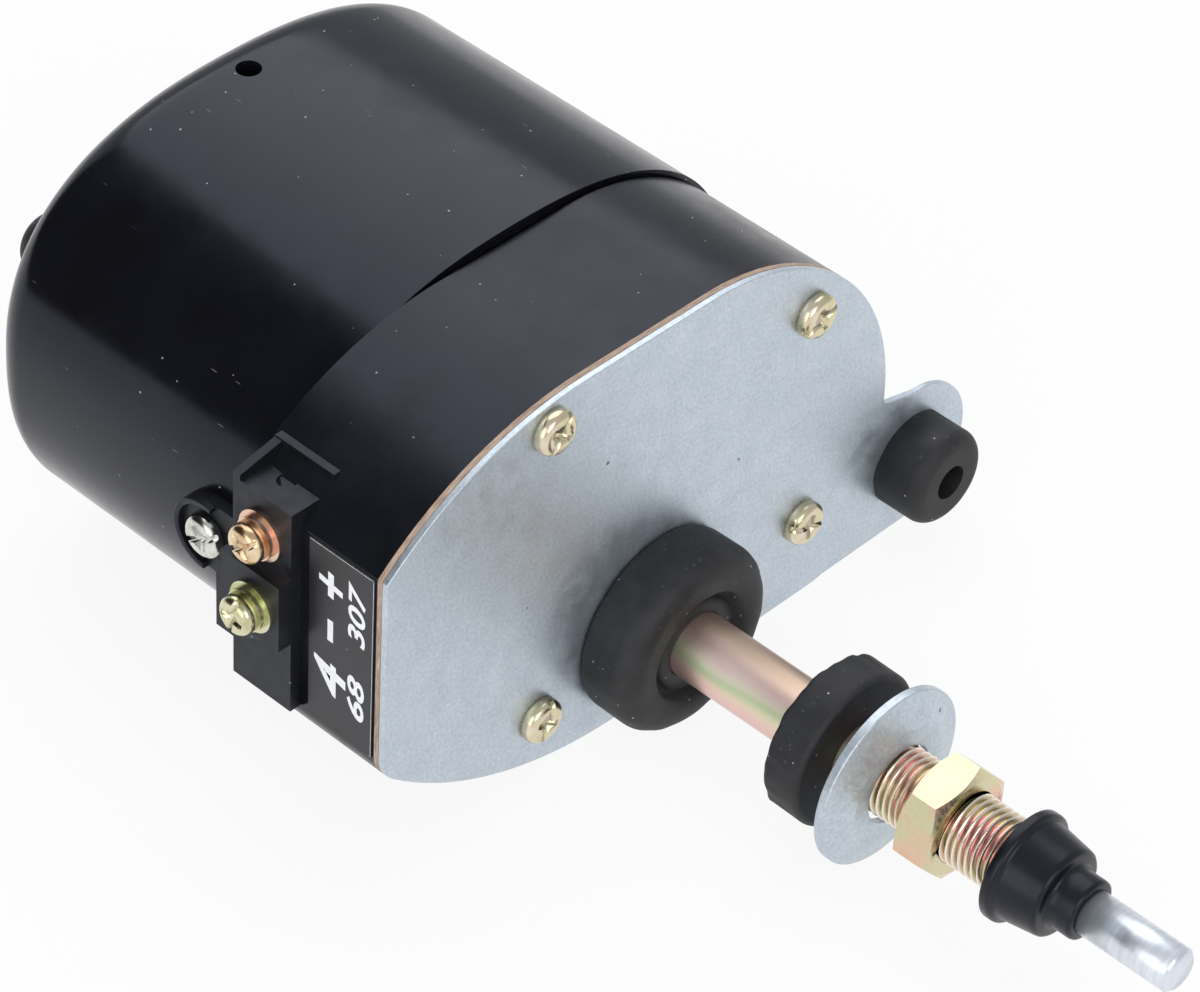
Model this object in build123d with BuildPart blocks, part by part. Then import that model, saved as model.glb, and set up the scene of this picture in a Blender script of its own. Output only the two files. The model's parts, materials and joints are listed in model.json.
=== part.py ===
from build123d import *
import os
from math import acos, atan2, copysign, cos, degrees, hypot, pi, radians, sin, sqrt, tan

os.makedirs("parts", exist_ok=True)

# Wiper motor, in millimetres.
# The origin is where the spindle's axis meets the front face of the front plate.
# The spindle points along -Y, the motor can lies along +Y, +Z is up, +X is right seen from the front.
# The motor lies on the flat underside that the plate, the housing and the can share.

# The D-shaped outline of the front plate and the gear housing
top_z = 46.3
bottom_z = -14.3
left_x = -46.95
right_arc_x = 7.4
right_arc_radius = 35.5
left_arc_x = -14.4
left_arc_radius = 48.1
lower_arc_x = -4.0
lower_arc_radius = 62.0
lower_corner_radius = 5.0
upper_corner_radius = 0.8
right_corner_radius = 12.0

# Front plate, its ear and the gasket behind it
plate_thickness = 0.9
ear_at = (49.4, -2.9)
ear_radius = 10.9
ear_slope = 0.26
ear_notch_radius = 1.4
gasket_thickness = 0.7
gasket_width = 3.4

# Gear housing
housing_depth = 23.4
housing_wall = 2.0
housing_floor = 2.0
skirt_length = 14.0
skirt_wall = 2.4
skirt_clearance = 0.1

# Oval motor can
can_gap = 0.6
can_length = 52.9
can_wall = 1.6
can_left_margin = 6.3
can_right_margin = 3.8
can_rise = 1.3
oval_fullness = 2.4
oval_points = 24
can_edge_radius = 6.0
vent_radius = 1.7
vent_at = (-2.8, 70.6)
plug_at = (-28.0, 27.5)
plug_radius = 4.8
plug_height = 4.2
plug_stem_radius = 2.2
plug_stem_length = 3.0

# Plate screws, with pan heads and a slotted cross recess
plate_screw_places = ((26.4, 33.9), (-20.5, 42.2), (27.8, -1.0), (-20.2, -4.6))
plate_screw_turns = (20, 55, -15, 70)
screw_radius = 1.5
screw_length = 9.0
screw_head_radius = 3.1
screw_head_height = 2.0
screw_head_rounding = 1.1
recess_width = 0.8
recess_depth = 0.9
recess_length = 3.6
lug_radius = 3.6
lug_length = 8.9

# Rubber grommet in the ear
grommet_radius = 6.9
grommet_height = 7.3
grommet_rounding = 2.2
grommet_bore = 2.5
grommet_waist = 5.0
grommet_lip_radius = 6.5
grommet_lip_height = 2.2

# Cushion washer against the plate
cushion_radius = 13.25
cushion_height = 8.5
cushion_front_rounding = 3.0
cushion_back_rounding = 1.2
cushion_groove_radius = 8.0
cushion_groove_depth = 1.6
cushion_collar_radius = 6.5
cushion_collar_height = 7.6

# Spindle tube with its M10 x 1 thread
tube_radius = 4.57
tube_bore = 3.9
tube_length = 63.0
tube_flange_radius = 8.0
tube_flange_thickness = 1.2
thread_radius = 5.0
thread_depth = 0.61
thread_pitch = 1.0
thread_start = 36.0

# Outer rubber washer, dished washer and nut on the tube
outer_washer_radius = 10.8
outer_washer_thickness = 6.0
outer_washer_at = 28.5
outer_washer_rounding = 1.0
dish_radius = 12.35
dish_thickness = 1.2
dish_rim_at = 38.6
dish_rise = 1.6
dish_flat_radius = 8.0
dish_hole_radius = 5.45
nut_across_flats = 14.0
nut_thickness = 5.5
nut_at = 46.6
nut_turn = 12.0
nut_chamfer = 0.9

# Seal cap over the end of the tube
cap_flange_radius = 7.55
cap_flange_thickness = 1.6
cap_overlap = 2.5
cap_cone_radius = 6.75
cap_nose_radius = 5.9
cap_cone_length = 5.7
cap_collar_radius = 4.1
cap_collar_length = 3.8
cap_chamber_radius = 4.7
cap_chamber_length = 2.6

# Spindle, its bushes and what holds it in the tube
spindle_radius = 3.0
journal_radius = 2.7
spindle_reach = 85.2
spindle_chamfer = 0.6
bush_length = 10.0
spindle_washer_thickness = 0.5
clip_thickness = 0.5
clip_rim = 1.3
groove_depth = 0.4
thrust_washer_thickness = 0.4
thrust_washer_radius = 6.0

# Fits
running_fit = 0.05
slip_fit = 0.1
end_play = 0.05
layer_gap = 0.4
axle_gap = 0.2

# Crank linkage: the spindle swings through the sweep while the crank makes half a turn
spindle_swing = 105.0
crank_at = (-24.0, 19.0)
lever_length = 13.0
lever_thickness = 2.0
lever_hub_radius = 5.5
lever_eye_radius = 3.4
lever_pin_radius = 1.6
rod_thickness = 1.5
rod_eye_radius = 4.2
rod_width = 5.0
crank_pin_radius = 2.0
crank_pin_shoulder = 3.2
crank_pin_tip = 1.5

# Gear train: motor pinion, intermediate gear and pinion, crank gear
pressure_angle = 25.0
first_module = 0.5
second_module = 0.6
pinion_teeth = 10
intermediate_teeth = 50
crank_teeth = 56
backlash = 0.12
crank_gear_thickness = 4.0
intermediate_gear_thickness = 3.0
motor_pinion_length = 4.0
pinion_overlap = 0.5
crank_axle_radius = 2.0
intermediate_axle_radius = 1.5
axle_boss_wall = 2.4
axle_clip_thickness = 0.4
park_disc_thickness = 0.4
park_disc_radius = 14.0
park_notch_radius = 8.0
park_notch_angle = 40.0

# Armature
shaft_radius = 3.0
shaft_nose_radius = 1.2
core_radius = 27.5
core_length = 23.0
core_front = 43.7
core_slots = 12
slot_opening = 2.0
slot_width = 6.0
slot_depth = 11.0
tooth_tip = 2.4
winding_head = 5.0
winding_inner_radius = 6.0
commutator_radius = 11.0
commutator_length = 10.0
commutator_front = 28.7
commutator_bars = 12
commutator_slit = 0.6
commutator_slit_depth = 0.8
bearing_radius = 6.0
bearing_length = 4.0
retainer_radius = 11.0
retainer_thickness = 1.0
bearing_boss_wall = 2.5
bearing_shoulder = 1.0
shaft_clearance = 0.4
shaft_end_play = 0.2

# Field magnets and the clips between them
magnet_length = 30.0
magnet_front = 40.5
magnet_gap = 1.0
magnet_half_angle = 40.0
glue_gap = 0.05
magnet_clip_thickness = 0.8
magnet_clip_length = 12.0
magnet_clip_margin = 3.0

# Brush gear
brush_plate_thickness = 2.0
brush_plate_hole = 12.5
brush_width = 5.0
brush_height = 6.0
brush_length = 7.0
brush_gap = 0.05
brush_at = 33.7
holder_wall = 0.8
holder_gap = 0.8
holder_length = 13.0
spring_radius = 1.9
spring_wire = 0.4
spring_turns = 4

# Terminal block on the flat left side
block_front = 14.4
block_width = 10.0
block_bottom = 4.8
level_two_bottom = 15.8
level_one_bottom = 25.9
block_top = 36.1
level_one_rise = 1.6
level_two_rise = 3.6
shelf_reach = 6.4
rib_height = 1.6
rib_thickness = 1.2
ejector_mark_radius = 1.3
ejector_mark_depth = 0.2
lug_tip_radius = 5.3
lug_plate_thickness = 1.5
terminal_places = ((19.3, 30.3), (18.7, 20.6))
terminal_turns = (35, 80)
terminal_head_radius = 2.65
terminal_head_height = 2.2
terminal_screw_length = 4.0
flat_washer_radius = 3.5
flat_washer_thickness = 0.6
spring_washer_radius = 2.9
spring_washer_thickness = 0.9
spring_washer_gap = 0.7
strip_width = 4.0
strip_foot = 6.0
strip_thickness = 0.8
strip_bend_x = -30.0
strip_end = 28.7
strip_window = 1.0

# Screws that hold the can on the housing's skirt
can_screw_at = (35.8, 15.8)
can_screw_length = 5.5
can_screw_head_radius = 3.05
can_screw_head_height = 1.6
can_screw_turn = 30

# Label plate with room for markings
label_thickness = 0.2
label_front = 1.9
label_width = 10.9
label_bottom = 4.9
label_top_margin = 0.3

# Parking contacts under the crank gear
carrier_at = (-38.0, 9.0)
carrier_size = (8.0, 6.0)
carrier_height = 5.0
contact_width = 1.6
contact_thickness = 0.4
contact_spacing = 3.2
contact_reach = 7.5
contact_gap = 0.1

# Places worked out from the sizes above
right_x = right_arc_x + right_arc_radius
right_arc_z = top_z - right_arc_radius
left_arc_z = top_z - left_arc_radius
lower_arc_z = bottom_z + lower_arc_radius
upper_corner_z = left_arc_z + sqrt(left_arc_radius**2 - (left_x - left_arc_x) ** 2)
lower_corner_z = lower_arc_z - sqrt(lower_arc_radius**2 - (left_x - lower_arc_x) ** 2)
housing_front = plate_thickness + gasket_thickness
housing_back = housing_front + housing_depth
housing_floor_front = housing_back - housing_floor
can_front = housing_back + can_gap
can_back = can_front + can_length
can_left = left_x + can_left_margin
can_right = right_x - can_right_margin
can_half_width = (can_right - can_left) / 2
can_top = top_z + can_rise
can_half_height = (can_top - bottom_z) / 2
motor_at = ((can_left + can_right) / 2, (can_top + bottom_z) / 2)
tube_flange_back = plate_thickness + tube_flange_thickness
cap_at = tube_length - cap_overlap
thrust_washer_front = tube_flange_back + end_play
lever_front = thrust_washer_front + thrust_washer_thickness
lever_back = lever_front + lever_thickness
rod_front = lever_back + layer_gap
rod_back = rod_front + rod_thickness
axle_front = rod_back + axle_gap
axle_clip_front = axle_front + axle_gap
crank_gear_front = axle_clip_front + axle_clip_thickness + end_play
crank_gear_back = crank_gear_front + crank_gear_thickness
park_disc_back = crank_gear_back + park_disc_thickness
crank_boss_front = park_disc_back + layer_gap
intermediate_gear_front = crank_gear_back + park_disc_thickness + layer_gap
intermediate_gear_back = intermediate_gear_front + intermediate_gear_thickness
intermediate_boss_front = intermediate_gear_back + layer_gap
motor_pinion_front = intermediate_gear_front - pinion_overlap
motor_pinion_back = motor_pinion_front + motor_pinion_length
first_centres = first_module * (pinion_teeth + intermediate_teeth) / 2
second_centres = second_module * (pinion_teeth + crank_teeth) / 2


def crossing(a, a_reach, b, b_reach):
    """The upper point that lies a_reach from a and b_reach from b."""
    gap = hypot(b[0] - a[0], b[1] - a[1])
    along = (gap**2 + a_reach**2 - b_reach**2) / (2 * gap)
    aside = sqrt(a_reach**2 - along**2)
    ux, uz = (b[0] - a[0]) / gap, (b[1] - a[1]) / gap
    return (a[0] + along * ux + aside * uz, a[1] + along * uz - aside * ux)


intermediate_at = crossing(motor_at, first_centres, crank_at, second_centres)

# Half the sweep sets the crank's radius, and both dead centres then lie on one line
half_swing = radians(spindle_swing / 2)
crank_radius = lever_length * sin(half_swing)
lever_reach = lever_length * cos(half_swing)
rod_length = sqrt(hypot(*crank_at) ** 2 - lever_reach**2)
crank_angle = atan2(crank_at[1], crank_at[0]) + atan2(lever_reach, rod_length)
lever_angle = crank_angle - pi / 2 + half_swing
crank_pin_at = (
    crank_at[0] + crank_radius * cos(crank_angle),
    crank_at[1] + crank_radius * sin(crank_angle),
)
lever_pin_at = (lever_length * cos(lever_angle), lever_length * sin(lever_angle))


def layer(back):
    """The sketch plane at y = back. It looks along -Y, so an extrusion runs to the front."""
    return Plane.XZ.offset(-back)


def round_bar(at, radius, front, back, mode=Mode.ADD):
    """A cylinder along Y through at = (x, z), from y = front to y = back."""
    with BuildSketch(layer(back)) as disc:
        with Locations(at):
            Circle(radius)
    extrude(disc.sketch, amount=back - front, mode=mode)


def turned_plane(at):
    """The plane through the axis at = (x, z), with the radius along X and y along Y."""
    return Plane(origin=(at[0], 0, at[1]), x_dir=(1, 0, 0), z_dir=(0, 0, 1))


def turned_axis(at):
    return Axis((at[0], 0, at[1]), (0, 1, 0))


def housing_outline():
    """The D-shaped outline, x to the right and z up."""
    top_right = (right_arc_x, top_z)
    right_top = (right_x, right_arc_z)
    bottom_right = (right_x, bottom_z)
    bottom_left = (lower_arc_x, bottom_z)
    left_bottom = (left_x, lower_corner_z)
    left_top = (left_x, upper_corner_z)
    top_left = (left_arc_x, top_z)
    with BuildSketch() as outline:
        with BuildLine():
            TangentArc(top_right, right_top, tangent=(1, 0))
            Line(right_top, bottom_right)
            Line(bottom_right, bottom_left)
            TangentArc(bottom_left, left_bottom, tangent=(-1, 0))
            Line(left_bottom, left_top)
            TangentArc(top_left, left_top, tangent=(-1, 0))
            Line(top_left, top_right)
        make_face()
        fillet(outline.vertices().sort_by_distance(bottom_right)[0], right_corner_radius)
        fillet(outline.vertices().sort_by_distance(left_bottom)[0], lower_corner_radius)
        fillet(outline.vertices().sort_by_distance(left_top)[0], upper_corner_radius)
    return outline.sketch


def inner_outline(inset):
    """The same outline, moved inwards by inset."""
    with BuildSketch() as outline:
        add(housing_outline())
        offset(amount=-inset)
    return outline.sketch


def can_oval(inset):
    """The can's oval section, a little fuller than an ellipse, moved inwards by inset."""
    rim = []
    for step in range(oval_points):
        across, up = cos(2 * pi * step / oval_points), sin(2 * pi * step / oval_points)
        x = (can_half_width - inset) * abs(across) ** (2 / oval_fullness)
        z = (can_half_height - inset) * abs(up) ** (2 / oval_fullness)
        rim.append((motor_at[0] + copysign(x, across), motor_at[1] + copysign(z, up)))
    with BuildSketch() as oval:
        with BuildLine():
            Spline(*rim, periodic=True)
        make_face()
    return oval.sketch


def wedge(direction, half_angle):
    """A wide slice from the motor's axis, for cutting rings into segments."""
    far = 3 * can_half_width
    low, high = radians(direction - half_angle), radians(direction + half_angle)
    with BuildSketch() as slice_of:
        with BuildLine():
            Polyline(
                motor_at,
                (motor_at[0] + far * cos(low), motor_at[1] + far * sin(low)),
                (motor_at[0] + far * cos(high), motor_at[1] + far * sin(high)),
                close=True,
            )
        make_face()
    return slice_of.sketch


def pan_screw(seat, radius, length, head_radius, head_height, turn):
    """A screw whose head stands on the seat plane. The slot runs right across, the cross arm is short."""
    with BuildPart() as screw:
        with BuildSketch(seat):
            Circle(head_radius)
        extrude(amount=head_height)
        head_top = screw.faces().sort_by(Axis(seat.origin, seat.z_dir))[-1]
        fillet(head_top.edges(), min(screw_head_rounding, 0.8 * head_height))
        with BuildSketch(seat):
            Circle(radius)
        extrude(amount=-length)
        with BuildSketch(seat.offset(head_height - recess_depth)):
            Rectangle(3 * head_radius, recess_width, rotation=turn)
            Rectangle(recess_length, recess_width, rotation=turn + 90)
        extrude(amount=2 * recess_depth, mode=Mode.SUBTRACT)
    return screw.part


def gear_sketch(module, teeth, direction, tooth_there, bore):
    """A spur gear. A tooth, or else a gap, is centred in the direction, in degrees."""
    pitch = module * teeth / 2
    base = pitch * cos(radians(pressure_angle))
    tip = pitch + 0.8 * module
    root = pitch - 1.05 * module
    half_tooth = pi / (2 * teeth) - backlash / (2 * pitch)
    at_pitch = tan(radians(pressure_angle)) - radians(pressure_angle)
    first = radians(direction) + (0 if tooth_there else pi / teeth)
    flank_start = max(base, root)
    flank = [flank_start + (tip - flank_start) * step / 2 for step in range(3)]

    def half_width(radius):
        lean = acos(base / radius)
        return half_tooth + at_pitch - (tan(lean) - lean)

    def polar(radius, angle):
        return (radius * cos(angle), radius * sin(angle))

    points = []
    for tooth in range(teeth):
        middle = first + 2 * pi * tooth / teeth
        points.append(polar(root, middle - half_width(flank_start)))
        points += [polar(radius, middle - half_width(radius)) for radius in flank]
        points += [polar(radius, middle + half_width(radius)) for radius in reversed(flank)]
        points.append(polar(root, middle + half_width(flank_start)))
    if root >= base:
        points = [p for i, p in enumerate(points) if i % 8 not in (0, 7)]
    with BuildSketch() as gear:
        with BuildLine():
            Polyline(*points, close=True)
        make_face()
        Circle(bore, mode=Mode.SUBTRACT)
    return gear.sketch


def toothed(at, sketch, front, back):
    """The gear sketch about the axis at = (x, z), from y = front to y = back."""
    plane = Plane(origin=(at[0], back, at[1]), x_dir=(1, 0, 0), z_dir=(0, -1, 0))
    with BuildSketch(plane) as face:
        add(sketch)
    extrude(face.sketch, amount=back - front)


def direction_from(a, b):
    return degrees(atan2(b[1] - a[1], b[0] - a[0]))


def lug_outline(places):
    """Screw lugs, each with a rib that runs out to the nearest side wall."""
    with BuildSketch() as lugs:
        for x, z in places:
            with Locations((x, z)):
                Circle(lug_radius)
            reach = 4 * lug_radius
            away = 1 if z > motor_at[1] else -1
            with Locations((x, z + away * reach / 2)):
                Rectangle(2 * lug_radius, reach)
    return lugs.sketch


# Front plate: the D outline with an ear at the lower right
with BuildPart() as front_plate:
    with BuildSketch(layer(plate_thickness)) as plate_face:
        add(housing_outline())
        ear_top = ear_at[1] + ear_radius
        notch = (right_x, ear_top + ear_slope * (ear_at[0] - right_x))
        with BuildLine():
            Polyline(
                (right_arc_x, bottom_z),
                (ear_at[0], ear_at[1] - ear_radius),
                (ear_at[0], ear_top),
                (right_arc_x, ear_top + ear_slope * (ear_at[0] - right_arc_x)),
                close=True,
            )
        make_face()
        with Locations(ear_at):
            Circle(ear_radius)
        fillet(plate_face.vertices().sort_by_distance(notch)[0], ear_notch_radius)
        with Locations(ear_at):
            Circle(grommet_waist + slip_fit, mode=Mode.SUBTRACT)
        Circle(tube_radius + slip_fit, mode=Mode.SUBTRACT)
        with Locations(*plate_screw_places):
            Circle(screw_radius + slip_fit, mode=Mode.SUBTRACT)
    extrude(amount=plate_thickness)
front_plate.part.label = "front_plate"
export_step(front_plate.part, "parts/front_plate.step")

# Paper gasket between the plate and the housing, with tabs round the screws
with BuildPart() as cover_gasket:
    with BuildSketch(layer(housing_front)) as gasket_window:
        add(inner_outline(gasket_width))
        add(lug_outline(plate_screw_places), mode=Mode.SUBTRACT)
    with BuildSketch(layer(housing_front)):
        add(housing_outline())
        with Locations(*plate_screw_places):
            Circle(screw_radius + slip_fit, mode=Mode.SUBTRACT)
    extrude(amount=gasket_thickness)
    extrude(gasket_window.sketch, amount=gasket_thickness, mode=Mode.SUBTRACT)
cover_gasket.part.label = "cover_gasket"
export_step(cover_gasket.part, "parts/cover_gasket.step")


# Gear housing: a moulded tray, closed behind, with a skirt that goes into the can
upper_right, upper_left, lower_right, lower_left = plate_screw_places
short_lugs = (upper_left, lower_left)
long_lugs = (upper_right, lower_right)
with BuildPart() as gear_housing:
    with BuildSketch(layer(housing_back)):
        add(housing_outline())
    extrude(amount=housing_depth)
    with BuildSketch(layer(housing_floor_front)):
        add(inner_outline(housing_wall))
        add(lug_outline(long_lugs), mode=Mode.SUBTRACT)
    extrude(amount=housing_floor_front - housing_front - lug_length, mode=Mode.SUBTRACT)
    with BuildSketch(layer(housing_front + lug_length)):
        add(inner_outline(housing_wall))
        add(lug_outline(plate_screw_places), mode=Mode.SUBTRACT)
    extrude(amount=lug_length, mode=Mode.SUBTRACT)
    with BuildSketch(layer(housing_back + skirt_length)):
        add(can_oval(can_wall + skirt_clearance))
        add(can_oval(can_wall + skirt_clearance + skirt_wall), mode=Mode.SUBTRACT)
    extrude(amount=skirt_length + housing_floor / 2)
    bearing_seat_front = housing_back - bearing_length
    bearing_boss_front = bearing_seat_front - bearing_shoulder
    round_bar(motor_at, bearing_radius + bearing_boss_wall, bearing_boss_front, housing_back)
    round_bar(crank_at, crank_axle_radius + axle_boss_wall, crank_boss_front, housing_back)
    boss_radius = intermediate_axle_radius + axle_boss_wall
    round_bar(intermediate_at, boss_radius, intermediate_boss_front, housing_back)
    round_bar(motor_at, bearing_radius, bearing_seat_front, housing_back, Mode.SUBTRACT)
    round_bar(motor_at, shaft_radius + shaft_clearance, bearing_boss_front, housing_back, Mode.SUBTRACT)
    round_bar(crank_at, crank_axle_radius, crank_boss_front, housing_back, Mode.SUBTRACT)
    round_bar(intermediate_at, intermediate_axle_radius, intermediate_boss_front, housing_back, Mode.SUBTRACT)
    for place in plate_screw_places:
        round_bar(place, screw_radius, housing_front, housing_front + lug_length - slip_fit, Mode.SUBTRACT)
    for y, z in terminal_places:
        leg_y = y + strip_foot / 2 - strip_thickness / 2
        with BuildSketch(Plane(origin=(left_x, leg_y, z), x_dir=(0, 1, 0), z_dir=(-1, 0, 0))):
            Rectangle(strip_thickness + strip_window, strip_width + strip_window)
        extrude(amount=2 * housing_wall, both=True, mode=Mode.SUBTRACT)
        with BuildSketch(Plane(origin=(left_x, y, z), x_dir=(0, 1, 0), z_dir=(-1, 0, 0))):
            Circle(screw_radius + slip_fit)
        extrude(amount=2 * housing_wall, both=True, mode=Mode.SUBTRACT)
        with BuildSketch(layer(housing_back)):
            with Locations((strip_bend_x - strip_thickness / 2, z)):
                Rectangle(strip_thickness + strip_window, strip_width + strip_window)
        extrude(amount=housing_floor, mode=Mode.SUBTRACT)
    for side in (-1, 1):
        skirt_hole = Plane(origin=(motor_at[0], can_screw_at[0], can_screw_at[1]), z_dir=(side, 0, 0))
        with BuildSketch(skirt_hole):
            Circle(screw_radius)
        extrude(amount=can_half_width, mode=Mode.SUBTRACT)
gear_housing.part.label = "gear_housing"
export_step(gear_housing.part, "parts/gear_housing.step")

# Motor can: one deep-drawn oval shell with a rounded rear edge
def can_form(inset):
    """The can's outer form, or its hollow when it is moved inwards by inset."""
    with BuildPart() as form:
        with BuildSketch(layer(can_back - inset)):
            add(can_oval(inset))
        extrude(amount=can_length)
        rear_edge = form.faces().sort_by(Axis.Y)[-1].edges()
        fillet(rear_edge, can_edge_radius - inset)
    return form.part


outer_form = can_form(0)
hollow_form = can_form(can_wall)
with BuildPart() as motor_can:
    add(outer_form)
    add(hollow_form, mode=Mode.SUBTRACT)
    with BuildSketch(Plane.XY.offset(motor_at[1])):
        with Locations(vent_at):
            Circle(vent_radius)
    extrude(amount=2 * can_half_height, mode=Mode.SUBTRACT)
    round_bar(plug_at, plug_stem_radius + slip_fit, can_back - 2 * can_edge_radius, can_back, Mode.SUBTRACT)
    for side in (-1, 1):
        can_hole = Plane(origin=(motor_at[0], can_screw_at[0], can_screw_at[1]), z_dir=(side, 0, 0))
        with BuildSketch(can_hole):
            Circle(screw_radius + slip_fit)
        extrude(amount=2 * can_half_width, mode=Mode.SUBTRACT)
motor_can.part.label = "motor_can"
export_step(motor_can.part, "parts/motor_can.step")


# Black plug in the can's rear face
with BuildPart() as rear_plug:
    round_bar(plug_at, plug_radius, can_back, can_back + plug_height)
    fillet(rear_plug.faces().sort_by(Axis.Y)[-1].edges(), 0.8 * plug_height)
    round_bar(plug_at, plug_stem_radius, can_back - plug_stem_length, can_back)
rear_plug.part.label = "rear_plug"
export_step(rear_plug.part, "parts/rear_plug.step")

# Four pan head screws through the plate and the gasket into the housing's lugs
screw_list = []
for place, turn in zip(plate_screw_places, plate_screw_turns):
    seat = Plane(origin=(place[0], 0, place[1]), x_dir=(1, 0, 0), z_dir=(0, -1, 0))
    screw_list.append(pan_screw(seat, screw_radius, screw_length, screw_head_radius, screw_head_height, turn))
with BuildPart() as plate_screws:
    add(screw_list)
plate_screws.part.label = "plate_screws"
export_step(plate_screws.part, "parts/plate_screws.step")

# Rubber grommet, gripped by the ear's hole at its waist
with BuildPart() as ear_grommet:
    with BuildSketch(turned_plane(ear_at)) as grommet_half:
        with BuildLine():
            Polyline(
                (grommet_bore, -grommet_height),
                (grommet_radius, -grommet_height),
                (grommet_radius, 0),
                (grommet_waist, 0),
                (grommet_waist, plate_thickness),
                (grommet_lip_radius, plate_thickness),
                (grommet_lip_radius, plate_thickness + grommet_lip_height),
                (grommet_bore, plate_thickness + grommet_lip_height),
                close=True,
            )
        make_face()
        shoulder = grommet_half.vertices().sort_by_distance((grommet_radius, -grommet_height))[0]
        fillet(shoulder, grommet_rounding)
    revolve(axis=turned_axis(ear_at))
ear_grommet.part.label = "ear_grommet"
export_step(ear_grommet.part, "parts/ear_grommet.step")

spindle_plane = turned_plane((0, 0))

# Cushion washer: a thick rubber ring that seals the motor against the panel
with BuildPart() as cushion_washer:
    with BuildSketch(spindle_plane) as cushion_half:
        with BuildLine():
            Polyline(
                (tube_radius + slip_fit, 0),
                (cushion_radius, 0),
                (cushion_radius, -cushion_height),
                (cushion_groove_radius, -cushion_height),
                (cushion_groove_radius, -cushion_height + cushion_groove_depth),
                (cushion_collar_radius, -cushion_height + cushion_groove_depth),
                (cushion_collar_radius, -cushion_collar_height),
                (tube_radius + slip_fit, -cushion_collar_height),
                close=True,
            )
        make_face()
        front_corner = cushion_half.vertices().sort_by_distance((cushion_radius, -cushion_height))[0]
        fillet(front_corner, cushion_front_rounding)
        back_corner = cushion_half.vertices().sort_by_distance((cushion_radius, 0))[0]
        fillet(back_corner, cushion_back_rounding)
    revolve(axis=Axis.Y)
cushion_washer.part.label = "cushion_washer"
export_step(cushion_washer.part, "parts/cushion_washer.step")

# Spindle tube: flanged behind the plate, threaded towards its front end
thread_root = thread_radius - thread_depth
thread_turns = int((tube_length - thread_start) / thread_pitch)
thread_points = []
for turn in range(thread_turns):
    crest_y = -tube_length + thread_pitch * turn
    thread_points.append((thread_root, crest_y))
    thread_points.append((thread_radius, crest_y + thread_pitch / 2))
thread_end = -tube_length + thread_pitch * thread_turns
with BuildPart() as spindle_tube:
    with BuildSketch(spindle_plane):
        with BuildLine():
            Polyline(
                (tube_bore, -tube_length),
                *thread_points,
                (thread_root, thread_end),
                (tube_radius, thread_end),
                (tube_radius, plate_thickness),
                (tube_flange_radius, plate_thickness),
                (tube_flange_radius, tube_flange_back),
                (tube_bore, tube_flange_back),
                close=True,
            )
        make_face()
    revolve(axis=Axis.Y)
spindle_tube.part.label = "spindle_tube"
export_step(spindle_tube.part, "parts/spindle_tube.step")


def bush(front, back):
    """A sintered bush between the tube's bore and the spindle."""
    with BuildPart() as sleeve:
        round_bar((0, 0), tube_bore, front, back)
        round_bar((0, 0), journal_radius + running_fit, front, back, Mode.SUBTRACT)
    return sleeve.part


front_bush_part = bush(-tube_length, -tube_length + bush_length)
with BuildPart() as front_spindle_bush:
    add(front_bush_part)
front_spindle_bush.part.label = "front_spindle_bush"
export_step(front_spindle_bush.part, "parts/front_spindle_bush.step")

rear_bush_part = bush(tube_flange_back - bush_length, tube_flange_back)
with BuildPart() as rear_spindle_bush:
    add(rear_bush_part)
rear_spindle_bush.part.label = "rear_spindle_bush"
export_step(rear_spindle_bush.part, "parts/rear_spindle_bush.step")

# Outer rubber washer, for the far side of the panel
outer_washer_front = -outer_washer_at - outer_washer_thickness
with BuildPart() as outer_rubber_washer:
    round_bar((0, 0), outer_washer_radius, outer_washer_front, -outer_washer_at)
    fillet(outer_rubber_washer.edges(), outer_washer_rounding)
    round_bar((0, 0), tube_radius + slip_fit, outer_washer_front, -outer_washer_at, Mode.SUBTRACT)
outer_rubber_washer.part.label = "outer_rubber_washer"
export_step(outer_rubber_washer.part, "parts/outer_rubber_washer.step")

# Dished washer: its hole is larger than the thread, so it hangs a little low
dish_at = (0, thread_radius - dish_hole_radius + running_fit)
with BuildPart() as dished_washer:
    with BuildSketch(turned_plane(dish_at)):
        with BuildLine():
            Polyline(
                (dish_hole_radius, -dish_rim_at - dish_rise),
                (dish_flat_radius, -dish_rim_at - dish_rise),
                (dish_radius, -dish_rim_at),
                (dish_radius, -dish_rim_at - dish_thickness),
                (dish_flat_radius, -dish_rim_at - dish_rise - dish_thickness),
                (dish_hole_radius, -dish_rim_at - dish_rise - dish_thickness),
                close=True,
            )
        make_face()
    revolve(axis=turned_axis(dish_at))
dished_washer.part.label = "dished_washer"
export_step(dished_washer.part, "parts/dished_washer.step")

# Hexagon nut, chamfered on both faces
nut_front = -nut_at - nut_thickness
nut_corner = nut_across_flats / 2 / cos(pi / 6)
with BuildPart() as hex_nut:
    with BuildSketch(layer(-nut_at)):
        RegularPolygon(nut_corner, 6, rotation=nut_turn)
        Circle(thread_radius + running_fit, mode=Mode.SUBTRACT)
    extrude(amount=nut_thickness)
    with BuildSketch(spindle_plane):
        with BuildLine():
            Polyline(
                (0, -nut_at),
                (nut_corner - nut_chamfer, -nut_at),
                (nut_corner, -nut_at - nut_chamfer / 2),
                (nut_corner, nut_front + nut_chamfer / 2),
                (nut_corner - nut_chamfer, nut_front),
                (0, nut_front),
                close=True,
            )
        make_face()
    revolve(axis=Axis.Y, mode=Mode.INTERSECT)
hex_nut.part.label = "hex_nut"
export_step(hex_nut.part, "parts/hex_nut.step")

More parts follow.
